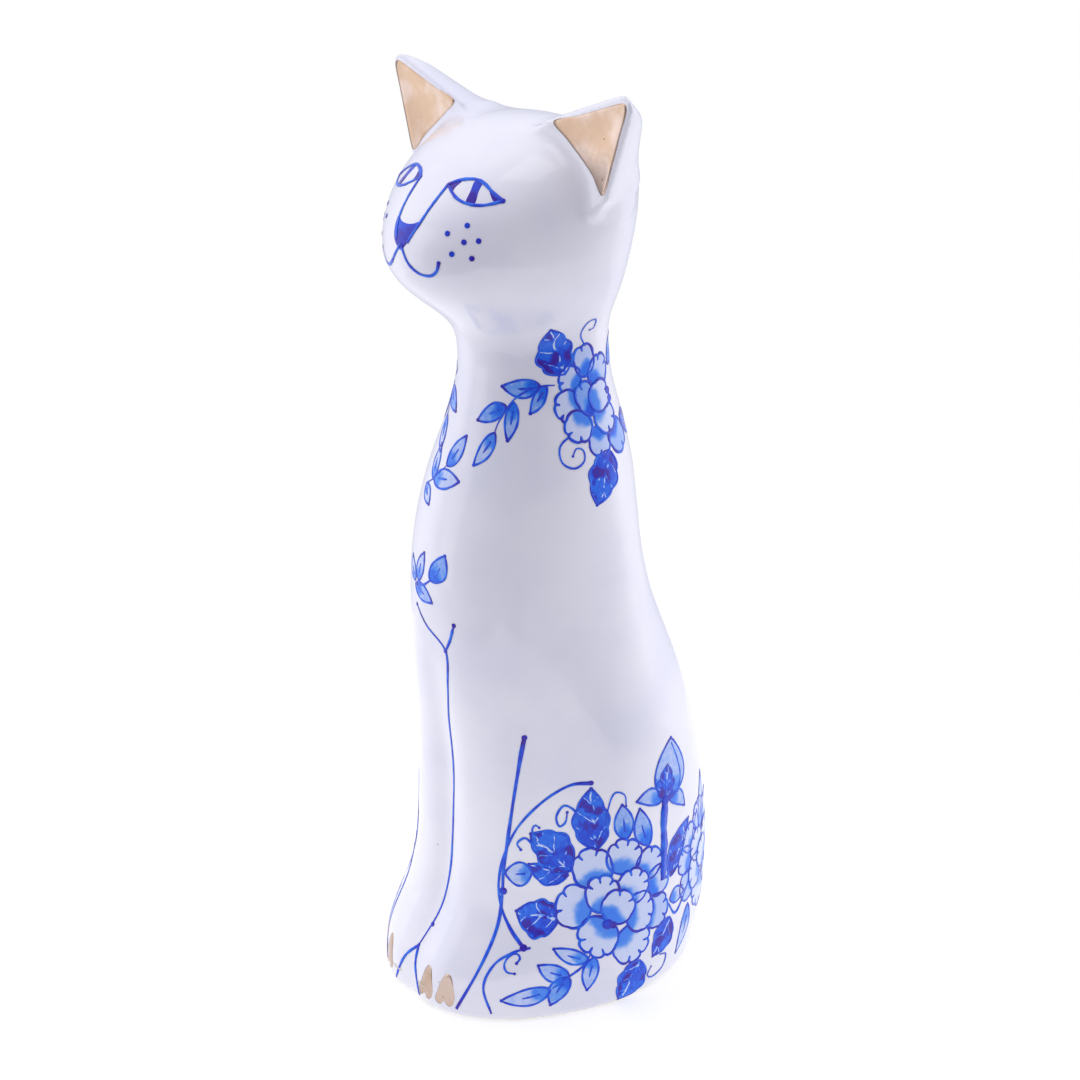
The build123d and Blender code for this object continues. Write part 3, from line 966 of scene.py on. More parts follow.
@dataclass(frozen=True)
class LegLine:
    """The back edge of a foreleg, with the small curl in front of the haunch."""

    def draw(self) -> Drawing:
        """The long line, the hooked arc beside it and the curl inside the arc.

        Returns:
            The drawing, flat, in millimetres.
        """
        return Drawing().plus(
            stroke([
                (26, 99.5), (24.5, 92), (22, 77), (20, 63), (18.5, 51), (18.3, 43), (17.4, 32),
                (13.5, 18), (8, 3.4),
            ], 1.25, 1, taper=(1.3, 0.9), ends=(1, 0)),
            spots([(18.6, 44)], 1.35, 1),
            stroke([
                (28.8, 25.4), (23.5, 24.2), (18, 20.4), (15.5, 13), (18, 3.4),
            ], 1, 1, taper=(1, 0.8)),
            stroke([
                (24.6, 20.8), (25.6, 22.4), (24.4, 23.8), (22.2, 23), (20.9, 20.6), (21.8, 18.2),
                (24.2, 17.6),
            ], 0.8, 1, taper=(1, 0.8), ends=(0.55, 0.5)),
        )


@dataclass(frozen=True)
class Face:
    """Eyes, nose, mouth and whisker dots, the same on both sides of the muzzle."""

    line: float = 1.08

    def _side(self, sign: float) -> Drawing:
        """One eye with the line down to the nose, half of the mouth and the dots.

        Args:
            sign: 1 for the left side of the cat and -1 for its right.

        Returns:
            The drawing, flat, in millimetres.
        """

        def put(points: Sequence[Point]) -> list[Point]:
            """Mirrors points onto this side."""
            return [(sign * s, z) for s, z in points]

        upper = put([
            (9, 272.8), (11.8, 273.8), (15.5, 274.5), (20.5, 274.8), (25, 274), (29, 272.1), (33, 270.2),
        ])
        lower = put([
            (9, 272.8), (12, 271.4), (16, 269.8), (20.5, 268.9), (25.5, 268.8), (29.5, 269.4),
            (33, 270.2),
        ])
        pupil = put([(20.4, 274.5), (23.8, 274.3), (23.3, 272), (23, 269.2), (19.6, 269), (20, 272)])
        wedge = put([(9, 272.8), (11.8, 273.7), (14.6, 274.1), (13, 272.6), (12.2, 271.3)])
        outer = put([(26.8, 273.4), (29, 272), (33, 270.2), (29.8, 269.9)])
        bridge = put([(9, 272.8), (7.8, 269.8), (6.6, 266.4), (5.4, 262.8), (3.9, 259.6), (2.6, 256.9)])
        smile = put([
            (0.2, 256.2), (1.9, 253.6), (4.2, 250.6), (7.5, 248.6), (11, 248.5), (13.2, 250.2),
            (14, 252.6),
        ])
        whiskers = put([(16, 261), (22, 263.5), (21.5, 259), (26, 259.5), (18, 255.5), (24, 254.5)])
        areas = ((pupil, 0.1), (wedge, 0.2), (outer, 0.2))
        return Drawing(tuple(filled(area, Brush.SOLID, 1, tone) for area, tone in areas)).plus(
            stroke(upper, self.line * 1.15, 2, taper=(1.1, 1)),
            stroke(lower, self.line, 2, taper=(1, 1.1), ends=(0.6, 0.8)),
            stroke(bridge, self.line, 2, taper=(1.2, 0.9)),
            stroke(smile, self.line * 0.95, 2, taper=(0.8, 1.2), ends=(0, 0.65)),
            spots(whiskers, 0.85, 2),
        )

    def draw(self) -> Drawing:
        """Both sides, the nose and the bar under it.

        Returns:
            The drawing, flat, in millimetres.
        """
        nose = [
            (-6.3, 262.9), (-3, 262), (0.2, 261.8), (2.8, 262.2), (5.2, 262.9), (4.2, 260), (2.6, 257),
            (1, 255.1), (-0.8, 255), (-3.4, 256.6), (-5.4, 259.4),
        ]
        bar = stroke([(-1.2, 254.6), (0, 254.9), (1.2, 254.6)], 0.55, 2)
        return Drawing((filled(nose, Brush.SOLID, 1),)).plus(self._side(1), self._side(-1), bar)


def filled(points: Sequence[Point], brush: Brush, layer: int, tone: float = 0.0) -> Patch:
    """A patch inside a smooth outline through points.

    Args:
        points: Points that the outline passes.
        brush: How the patch is filled.
        layer: Layer of enamel it lies in.
        tone: Strength of the wash, from 0 to 1.

    Returns:
        The patch.
    """
    outline = curve_through(points, closed=True, spacing=0.5)
    centre = tuple(outline.mean(axis=0))
    low = outline[outline[:, 1].argmin()]
    high = outline[outline[:, 1].argmax()]
    return Patch(outline, centre, (*low, *high), brush, layer, tone)


# ---- meshes ------------------------------------------------------------------------------------
def surface_nets(values: np.ndarray, origin: np.ndarray, step: float) -> tuple[np.ndarray, np.ndarray]:
    """Turns a sampled form into quads, one vertex in each grid cell that the surface crosses.

    Args:
        values: Samples of the form, negative inside.
        origin: Place of the first sample.
        step: Distance between samples.

    Returns:
        Vertices and quads with outward winding.
    """
    cells = np.array(values.shape) - 1
    total = int(np.prod(cells))
    sums = np.zeros((total, 3))
    count = np.zeros(total)
    crossings = []
    for axis in range(3):
        lower = [slice(None)] * 3
        upper = [slice(None)] * 3
        lower[axis] = slice(0, -1)
        upper[axis] = slice(1, None)
        first = values[tuple(lower)]
        second = values[tuple(upper)]
        at = np.argwhere((first < 0.0) != (second < 0.0))
        start = first[tuple(at.T)]
        end = second[tuple(at.T)]
        place = at.astype(float)
        place[:, axis] += start / (start - end)
        one, two = (axis + 1) % 3, (axis + 2) % 3
        around = []
        for shift_one, shift_two in ((0, 0), (-1, 0), (-1, -1), (0, -1)):
            cell = at.copy()
            cell[:, one] += shift_one
            cell[:, two] += shift_two
            flat = np.ravel_multi_index(tuple(cell.T), tuple(cells))
            around.append(flat)
            for k in range(3):
                sums[:, k] += np.bincount(flat, place[:, k], minlength=total)
            count += np.bincount(flat, minlength=total)
        quads = np.stack(around, axis=1)
        crossings.append(np.where((start < 0.0)[:, None], quads, quads[:, ::-1]))
    used = count > 0
    index = np.cumsum(used) - 1
    vertices = sums[used] / count[used][:, None] * step + origin
    return vertices, index[np.vstack(crossings)]


def make_mesh(name: str, vertices: np.ndarray, faces: Sequence, edges: Sequence = ()) -> bpy.types.Object:
    """A mesh object in the scene, from vertices in millimetres.

    Args:
        name: Name of the piece.
        vertices: Points in millimetres, one row each.
        faces: Vertex numbers of each face.
        edges: Vertex numbers of each loose edge.

    Returns:
        The new object.
    """
    mesh = bpy.data.meshes.new(name)
    mesh.from_pydata((vertices * MM).tolist(), list(edges), [list(map(int, f)) for f in faces])
    made = bpy.data.objects.new(name, mesh)
    bpy.context.scene.collection.objects.link(made)
    return made


def set_attribute(target: bpy.types.Object, name: str, values: np.ndarray) -> None:
    """Stores one value or one vector for each vertex.

    Args:
        target: Mesh object that takes it.
        name: Name that the material reads.
        values: One number or one row of three for each vertex.
    """
    kind, key = ("FLOAT", "value") if values.ndim == 1 else ("FLOAT_VECTOR", "vector")
    store = target.data.attributes.new(name, kind, "POINT")
    store.data.foreach_set(key, np.ascontiguousarray(values, dtype=np.float32).ravel())


def shade(mesh: bpy.types.Mesh, slots: np.ndarray) -> None:
    """Gives each face its material slot and shades the mesh smooth."""
    mesh.polygons.foreach_set("material_index", np.asarray(slots, dtype=np.int32))
    mesh.polygons.foreach_set("use_smooth", np.ones(len(slots), dtype=bool))


def report(piece: bpy.types.Object) -> None:
    """Logs the piece's size, its triangles and its materials.

    Args:
        piece: A finished piece.
    """
    corners = np.array([corner[:] for corner in piece.bound_box])
    low, high = corners.min(axis=0) * 1000, corners.max(axis=0) * 1000
    triangles = sum(len(p.vertices) - 2 for p in piece.data.polygons)
    names = ", ".join(m.name for m in piece.data.materials)
    log.info("%s: %s to %s mm, %d triangles, %s", piece.name, low.round(1), high.round(1), triangles, names)


# ---- node trees --------------------------------------------------------------------------------
Socket = bpy.types.NodeSocket
Value = float | tuple | bpy.types.NodeSocket | None
Stops = tuple[tuple[float, str], ...]


def linear(code: str) -> tuple[float, float, float, float]:
    """A linear colour from an sRGB hex code.

    Args:
        code: Six hexadecimal digits.

    Returns:
        Red, green, blue and full alpha.
    """
    parts = [int(code[i : i + 2], 16) / 255.0 for i in (1, 3, 5)]
    made = [c / 12.92 if c <= 0.04045 else ((c + 0.055) / 1.055) ** 2.4 for c in parts]
    return (made[0], made[1], made[2], 1.0)


class Nodes:
    """A node tree under construction."""

    def __init__(self, tree: bpy.types.NodeTree) -> None:
        """Keeps the tree."""
        self.tree = tree

    def put(self, socket: Socket, value: Value) -> None:
        """Links an input or sets its value.

        Args:
            socket: Input of a node.
            value: Output to link, or the value to set.
        """
        if isinstance(value, bpy.types.NodeSocket):
            self.tree.links.new(value, socket)
        elif value is not None:
            socket.default_value = value

    def add(self, kind: str, *values: Value, out: int | str = 0, stops: Stops = (), **named) -> Socket:
        """Adds a node with its settings and links.

        Args:
            kind: Type of the node, "ShaderNode" left out, and after a space its operation.
            values: Values or sockets for the first inputs.
            out: Which output to hand back.
            stops: Places and hex colours of a colour ramp.
            named: Inputs by name or identifier with _ for a space, and settings in lower case.

        Returns:
            The chosen output.
        """
        kind, _, operation = kind.partition(" ")
        node = self.tree.nodes.new(kind if "Node" in kind else f"ShaderNode{kind}")
        if operation:
            node.operation = operation
        for key in [key for key in named if key[0].islower()]:
            setattr(node, key, named.pop(key))
        for socket, value in zip(node.inputs, values):
            self.put(socket, value)
        for key, value in named.items():
            names = (key, key.replace("_", " "))
            self.put(next(i for i in node.inputs if i.name in names or i.identifier in names), value)
        for _ in stops[2:]:
            node.color_ramp.elements.new(0.5)
        for element, (at, code) in zip(node.color_ramp.elements if stops else (), stops):
            element.position = at
            element.color = linear(code)
        return node.outputs[out]


# ---- materials ---------------------------------------------------------------------------------
SMOOTH = {"interpolation_type": "SMOOTHSTEP"}
BLEND = {"data_type": "RGBA", "out": 2}


class Shader(Nodes):
    """A material under construction round its Principled shader."""

    def __init__(self, name: str) -> None:
        """Makes the material.

        Args:
            name: Name of the material.
        """
        self.material = bpy.data.materials.new(name)
        self.material.use_nodes = True
        super().__init__(self.material.node_tree)

    def dressed(self, **inputs: Value) -> bpy.types.Material:
        """Sets or links inputs of the Principled shader and hands the material over.

        Args:
            inputs: Inputs by name, with _ for a space.

        Returns:
            The finished material.
        """
        for key, value in inputs.items():
            self.put(self.tree.nodes["Principled BSDF"].inputs[key.replace("_", " ")], value)
        return self.material

    def cloud(self, size_mm: float, detail: float = 2.0, roughness: float = 0.5) -> Socket:
        """A cloudy pattern with features of a real size, in the piece's own coordinates.

        Args:
            size_mm: Size of the features.
            detail: How many finer patterns lie on top.
            roughness: How strong the finer patterns are.

        Returns:
            The value, about 0.5 on average.
        """
        place = self.add("TexCoord", out="Object")
        scale = 1.0 / (size_mm * MM)
        return self.add("TexNoise", Vector=place, Scale=scale, Detail=detail, Roughness=roughness)

    def swing(self, reach: float, size_mm: float, detail: float, roughness: float = 0.5) -> Socket:
        """The cloudy pattern to both sides of nought, `reach` from end to end."""
        centred = self.add("Math SUBTRACT", self.cloud(size_mm, detail, roughness), 0.5)
        return self.add("Math MULTIPLY", centred, reach)

    def specks(self, size_mm: float, radius: float) -> Socket:
        """1 inside small scattered dots; radius is a share of the distance between them.

        Args:
            size_mm: Distance between the dots.
            radius: Radius of a dot as a share of that distance.

        Returns:
            1 in a dot and 0 outside.
        """
        place = self.add("TexCoord", out="Object")
        near = self.add("TexVoronoi", Vector=place, Scale=1.0 / (size_mm * MM), out="Distance")
        dots = self.add("MapRange", near, radius * 0.7, radius, 1.0, 0.0, **SMOOTH)
        pick = self.add("MapRange", self.cloud(size_mm * 3.1, 1.0), 0.55, 0.6, **SMOOTH)
        return self.add("Math MULTIPLY", dots, pick)


@dataclass(frozen=True)
class GlazedPorcelain:
    """Clear glaze over white porcelain: a hard wet highlight over a soft milky body."""

    white: str = "#F1F1F6"
    thick: str = "#E6E7F1"
    speck: str = "#CFCBC8"
    roughness: float = 0.16

    def make(self) -> bpy.types.Material:
        """Builds the material.

        Returns:
            The finished material.
        """
        s = Shader("porcelain_clear_glaze")
        # Glaze gathers in broad drifts and is faintly bluer where it is thick.
        drift = s.add("MapRange", s.cloud(38.0, 3.0), 0.35, 0.7, **SMOOTH)
        colour = s.add("Mix", drift, A_Color=linear(self.white), B_Color=linear(self.thick), **BLEND)
        # A few pin-sized iron specks under the glaze.
        colour = s.add("Mix", s.specks(9.0, 0.05), A_Color=colour, B_Color=linear(self.speck), **BLEND)
        # The surface rolls slightly, with a fine orange peel on top.
        roll = s.add("Bump", Height=s.cloud(24.0), Strength=0.1, Distance=0.6 * MM)
        peel = s.add("Bump", Height=s.cloud(2.2), Strength=0.05, Distance=0.05 * MM, Normal=roll)
        rough = (self.roughness * 0.8, self.roughness * 1.3)
        return s.dressed(
            Base_Color=colour,
            Roughness=s.add("MapRange", s.cloud(11.0, 3.0), 0.3, 0.7, *rough, **SMOOTH),
            Normal=peel,
            Coat_Weight=0.7,
            Coat_Roughness=0.03,
            Coat_IOR=1.5,
        )


@dataclass(frozen=True)
class BiscuitPorcelain:
    """Unglazed porcelain of the foot ring and the floor: chalky, with grit and kiln dust."""

    clay: str = "#E9E5DC"
    dust: str = "#CFC5B4"
    grit: str = "#A79A88"

    def make(self) -> bpy.types.Material:
        """Builds the material.

        Returns:
            The finished material.
        """
        s = Shader("porcelain_biscuit")
        # Handling and kiln wash leave warm patches on the bare clay.
        worn = s.add("MapRange", s.cloud(14.0, 4.0), 0.42, 0.72, **SMOOTH)
        colour = s.add("Mix", worn, A_Color=linear(self.clay), B_Color=linear(self.dust), **BLEND)
        # Grit from the kiln shelf sticks to the foot.
        colour = s.add("Mix", s.specks(3.0, 0.12), A_Color=colour, B_Color=linear(self.grit), **BLEND)
        return s.dressed(
            Base_Color=colour,
            Roughness=s.add("MapRange", s.cloud(5.0, 3.0), 0.3, 0.7, 0.72, 0.9, **SMOOTH),
            Normal=s.add("Bump", Height=s.cloud(0.7, 4.0, 0.7), Strength=0.5, Distance=0.08 * MM),
        )


@dataclass(frozen=True)
class GoldLustre:
    """Fired gold lustre: a mirror-thin warm metal, browner where it ran thin."""

    gold: str = "#BFA48A"
    pale: str = "#CDB8A8"
    thin: str = "#8A6A4E"
    hole: str = "#6B4A33"

    def make(self) -> bpy.types.Material:
        """Builds the material.

        Returns:
            The finished material.
        """
        s = Shader("fired_gold_lustre")
        # The film's thickness wanders, so its colour goes from pale to full gold.
        film = s.add("MapRange", s.cloud(9.0, 3.0), 0.4, 0.65, **SMOOTH)
        colour = s.add("Mix", film, A_Color=linear(self.gold), B_Color=linear(self.pale), **BLEND)
        # Burnt brown freckles where the film is thinnest.
        burnt = s.add("MapRange", s.cloud(4.5, 4.0, 0.6), 0.66, 0.74, 0.0, 0.75, **SMOOTH)
        colour = s.add("Mix", burnt, A_Color=colour, B_Color=linear(self.thin), **BLEND)
        # Pinholes let the dark of the glaze show.
        holes = s.specks(4.0, 0.07)
        return s.dressed(
            Base_Color=s.add("Mix", holes, A_Color=colour, B_Color=linear(self.hole), **BLEND),
            Metallic=s.add("Math SUBTRACT", 1.0, s.add("Math MULTIPLY", holes, 0.8)),
            Roughness=s.add("MapRange", s.cloud(6.0, 3.0), 0.3, 0.7, 0.14, 0.26, **SMOOTH),
            Normal=s.add("Bump", Height=s.cloud(7.0), Strength=0.22, Distance=0.5 * MM),
        )


# Cobalt from the thinnest wash to the deepest pool, and the soft gloss of fired enamel.
COBALT_STOPS: Stops = (
    (0.0, "#E3EAFB"),
    (0.2, "#BFD0F6"),
    (0.42, "#5F9DF4"),
    (0.6, "#2777F2"),
    (0.8, "#1748DA"),
    (1.0, "#3A1BA2"),
)
ENAMEL = {"Specular_IOR_Level": 0.25, "Coat_Weight": 0.22, "Coat_Roughness": 0.04}


@dataclass(frozen=True)
class CobaltWash:
    """Cobalt enamel thinned with water: pale where the brush was dry, pooled where it rested."""

    brush: Brush
    base: float
    tip: float
    turn: float
    mottling: float
    blotches: float = 0.0
    gaps: float = 0.0

    def _veins(self, s: Shader, along: Socket, across: Socket) -> Socket:
        """Veins left bare: one down the middle, the others slanting to the edge.

        Args:
            s: The shader that the nodes go into.
            along: 0 at the base to 1 at the tip.
            across: -1 to 1 from edge to edge.

        Returns:
            1 on a vein and 0 beside it.
        """
        side = s.add("Math ABSOLUTE", s.add("Math ADD", across, s.swing(0.5, 5.0, 1.0)))
        rise, lean = s.add("Math MULTIPLY", along, 3.4), s.add("Math MULTIPLY", side, 1.1)
        slant = s.add("Math SUBTRACT", rise, lean)
        ribs = s.add("Math ABSOLUTE", s.add("Math SUBTRACT", s.add("Math FRACT", slant), 0.5))
        ribs = s.add("MapRange", ribs, 0.02, 0.055, 1.0, 0.0, **SMOOTH)
        ribs = s.add("Math MULTIPLY", ribs, s.add("MapRange", side, 0.72, 0.86, 1.0, 0.0, **SMOOTH))
        spine = s.add("MapRange", side, 0.025, 0.065, 1.0, 0.0, **SMOOTH)
        broken = s.add("MapRange", s.cloud(3.0), 0.42, 0.56, **SMOOTH)
        veins = s.add("Math MULTIPLY", s.add("Math MAXIMUM", ribs, spine), broken)
        return s.add("Math MULTIPLY", veins, self.gaps)

    def make(self) -> bpy.types.Material:
        """Builds the material from the brush coordinates stored on the vertices.

        Returns:
            The finished material.
        """
        s = Shader(self.brush.value)
        place = s.add("Attribute", attribute_name="stroke", out="Vector")
        along, across, tone = s.add("SeparateXYZ", place).node.outputs
        # The loaded brush was set down at the base and lifted towards the tip.
        bow = s.add("Math MULTIPLY", s.add("Math MULTIPLY", across, across), 0.22)
        way = s.add("Math ADD", s.add("Math ADD", along, bow), s.swing(0.3, 3.6, 1.0))
        depth = s.add("MapRange", way, self.turn - 0.12, self.turn + 0.16, self.base, self.tip, **SMOOTH)
        # Streaks and clouds of the drying wash.
        depth = s.add("Math ADD", s.add("Math ADD", depth, tone), s.swing(self.mottling, 1.6, 3.0, 0.6))
        if self.blotches > 0.0:
            # Violet pools where a second load of colour sank in.
            pools = s.add("MapRange", s.cloud(5.0, 1.0), 0.47, 0.64, 0.0, self.blotches, **SMOOTH)
            depth = s.add("Math ADD", depth, pools)
        if self.gaps > 0.0:
            depth = s.add("Math SUBTRACT", depth, self._veins(s, along, across))
        depth = s.add("Math ADD", depth, 0.0, use_clamp=True)
        return s.dressed(
            Base_Color=s.add("ValToRGB", depth, stops=COBALT_STOPS),
            Roughness=0.18,
            Normal=s.add("Bump", Height=s.cloud(1.5), Strength=0.12, Distance=0.05 * MM),
            **ENAMEL,
        )


@dataclass(frozen=True)
class CobaltLine:
    """Cobalt enamel from a fine loaded brush: deep blue, violet where it pooled at the ends."""

    depth: float = 0.72
    pooled: float = 0.18

    def make(self) -> bpy.types.Material:
        """Builds the material.

        Returns:
            The finished material.
        """
        s = Shader("cobalt_enamel_line")
        pool = s.add("Attribute", attribute_name="pool", out="Fac")
        run = s.add("Math ADD", self.depth, s.swing(0.7, 4.0, 3.0))
        depth = s.add("Math ADD", run, s.add("Math MULTIPLY", pool, self.pooled), use_clamp=True)
        return s.dressed(
            Base_Color=s.add("ValToRGB", depth, stops=COBALT_STOPS),
            Roughness=0.2,
            Normal=s.add("Bump", Height=s.cloud(1.2), Strength=0.1, Distance=0.05 * MM),
            **ENAMEL,
        )


class Finishes:
    """Every material of the cat, made once."""

    def __init__(self) -> None:
        """Builds the materials."""
        self.glaze = GlazedPorcelain().make()
        self.biscuit = BiscuitPorcelain().make()
        self.gold = GoldLustre().make()
        self.line = CobaltLine().make()
        washes = (
            CobaltWash(Brush.PETAL, 0.52, 0.1, 0.4, 0.07),
            CobaltWash(Brush.LEAF, 0.46, 0.16, 0.4, 0.3),
            CobaltWash(Brush.DARK, 0.78, 0.66, 0.5, 0.34, 0.32, 0.62),
            CobaltWash(Brush.SOLID, 0.92, 0.76, 0.5, 0.26),
        )
        self.washes = {wash.brush: wash.make() for wash in washes}


# ---- brush lines with geometry nodes -----------------------------------------------------------
class LineTree(Nodes):
    """A node tree that sweeps a lens-shaped section along lines and sets drops on points."""

    flatness: float = 0.075
    drop_flatness: float = 0.8
    section_points: int = 6

    def __init__(self) -> None:
        """Builds the tree and its named inputs."""
        super().__init__(bpy.data.node_groups.new("brush_lines", "GeometryNodeTree"))
        face = self.tree.interface
        self.slots = {
            name: face.new_socket(name=name, in_out="INPUT", socket_type=f"NodeSocket{kind}").identifier
            for name, kind in (
                ("Geometry", "Geometry"),
                ("Flatness", "Float"),
                ("Section points", "Int"),
                ("Enamel", "Material"),
            )
        }
        face.new_socket(name="Geometry", in_out="OUTPUT", socket_type="NodeSocketGeometry")
        self._build()

    def _build(self) -> None:
        """Wires the sweep and the drops together."""
        guides, flatness, points, enamel = list(self.tree.nodes.new("NodeGroupInput").outputs)[:4]
        lift, width, size = (
            self.add("GeometryNodeInputNamedAttribute", Name=name, data_type=kind, out="Attribute")
            for name, kind in (("lift", "FLOAT_VECTOR"), ("width", "FLOAT"), ("drop", "FLOAT"))
        )
        ring = self.add("GeometryNodeCurvePrimitiveCircle", Resolution=points, Radius=0.5)
        squash = self.add("CombineXYZ", flatness, 1.0, 1.0)
        section = self.add("GeometryNodeTransform", Geometry=ring, Scale=squash)
        curves = self.add("GeometryNodeMeshToCurve", guides)
        upright = self.add("GeometryNodeSetCurveNormal", Curve=curves, Normal=lift, mode="FREE")
        swept = self.add(
            "GeometryNodeCurveToMesh", Curve=upright, Profile_Curve=section, Scale=width, Fill_Caps=True
        )
        low = self.add("Math MULTIPLY", flatness, self.drop_flatness)
        shape = self.add("CombineXYZ", 1.0, 1.0, low)
        drops = self.add(
            "GeometryNodeInstanceOnPoints",
            Points=guides,
            Selection=self.add("FunctionNodeCompare GREATER_THAN", size, 0.0),
            Instance=self.add("GeometryNodeMeshIcoSphere", Radius=1.0, Subdivisions=2),
            Rotation=self.add("FunctionNodeAlignRotationToVector", Vector=lift, axis="Z"),
            Scale=self.add("VectorMath SCALE", shape, Scale=size),
        )
        joined = self.add("GeometryNodeJoinGeometry", swept)
        self.put(joined.node.inputs[0], drops)
        real = self.add("GeometryNodeRealizeInstances", joined)
        dressed = self.add("GeometryNodeSetMaterial", Geometry=real, Material=enamel)
        self.put(self.tree.nodes.new("NodeGroupOutput").inputs[0], dressed)

    def bake(self, guide: bpy.types.Object, enamel: bpy.types.Material) -> None:
        """Replaces a mesh of guide lines and points with the plain swept mesh.

        Args:
            guide: Mesh of edges and loose points with its attributes.
            enamel: Material of the lines.
        """
        sweep = guide.modifiers.new("brush_lines", "NODES")
        sweep.node_group = self.tree
        sweep[self.slots["Flatness"]] = self.flatness
        sweep[self.slots["Section points"]] = self.section_points
        sweep[self.slots["Enamel"]] = enamel
        graph = bpy.context.evaluated_depsgraph_get()
        plain = bpy.data.meshes.new_from_object(guide.evaluated_get(graph))
        guide.modifiers.remove(sweep)
        guide.data = plain
        plain.materials.clear()
        plain.materials.append(enamel)
        shade(plain, np.zeros(len(plain.polygons)))


# ---- pieces ------------------------------------------------------------------------------------
@dataclass(frozen=True)
class Body:
    """The cast and luted body as one glazed skin, open to its recess under the foot."""

    form: CatForm
    step: float = 1.2
    corners: tuple[tuple[float, ...], ...] = ((-58.0, -61.0, -3.0), (56.0, 69.0, 304.0))
    bare_height: float = 0.9
    recess_top: float = 15.0

    def _sample(self) -> tuple[np.ndarray, np.ndarray]:
        """Samples the form on a grid and returns the samples and the grid's corner.

        Returns:
            The samples and the lowest corner.
        """
        low, high = np.array(self.corners)
        counts = ((high - low) / self.step).astype(int) + 1
        axes = [low[k] + self.step * np.arange(counts[k]) for k in range(3)]
        values = np.empty(tuple(counts))
        x, y = np.meshgrid(axes[0], axes[1], indexing="ij")
        for k, z in enumerate(axes[2]):
            slab = np.stack([x.ravel(), y.ravel(), np.full(x.size, z)], axis=1)
            values[:, :, k] = self.form.shell(slab).reshape(x.shape)
        return values, low

    def build(self, finishes: Finishes) -> bpy.types.Object:
        """Builds the skin with smooth normals, glaze outside and bare clay under the foot.

        Args:
            finishes: All finishes of the figurine.

        Returns:
            The body of the cat.
        """
        values, low = self._sample()
        vertices, quads = surface_nets(values, low, self.step)
        vertices = self.form.settle(vertices)
        vertices[:, 2] = np.maximum(vertices[:, 2], 0.0)
        normals = self.form.normals(vertices, hollow=True)
        body = make_mesh("glazed_body", vertices, quads)
        body.data.materials.append(finishes.glaze)
        body.data.materials.append(finishes.biscuit)
        centres = vertices[quads].mean(axis=1)
        facing = normals[quads].mean(axis=1)
        inside = self.form.trunk(centres) < -self.form.foot_wall * 0.5
        resting = (centres[:, 2] < self.bare_height) & (facing[:, 2] < -0.6)
        bare = resting | (inside & (centres[:, 2] < self.recess_top))
        shade(body.data, bare)
        body.data.normals_split_custom_set_from_vertices(normals.tolist())
        return body


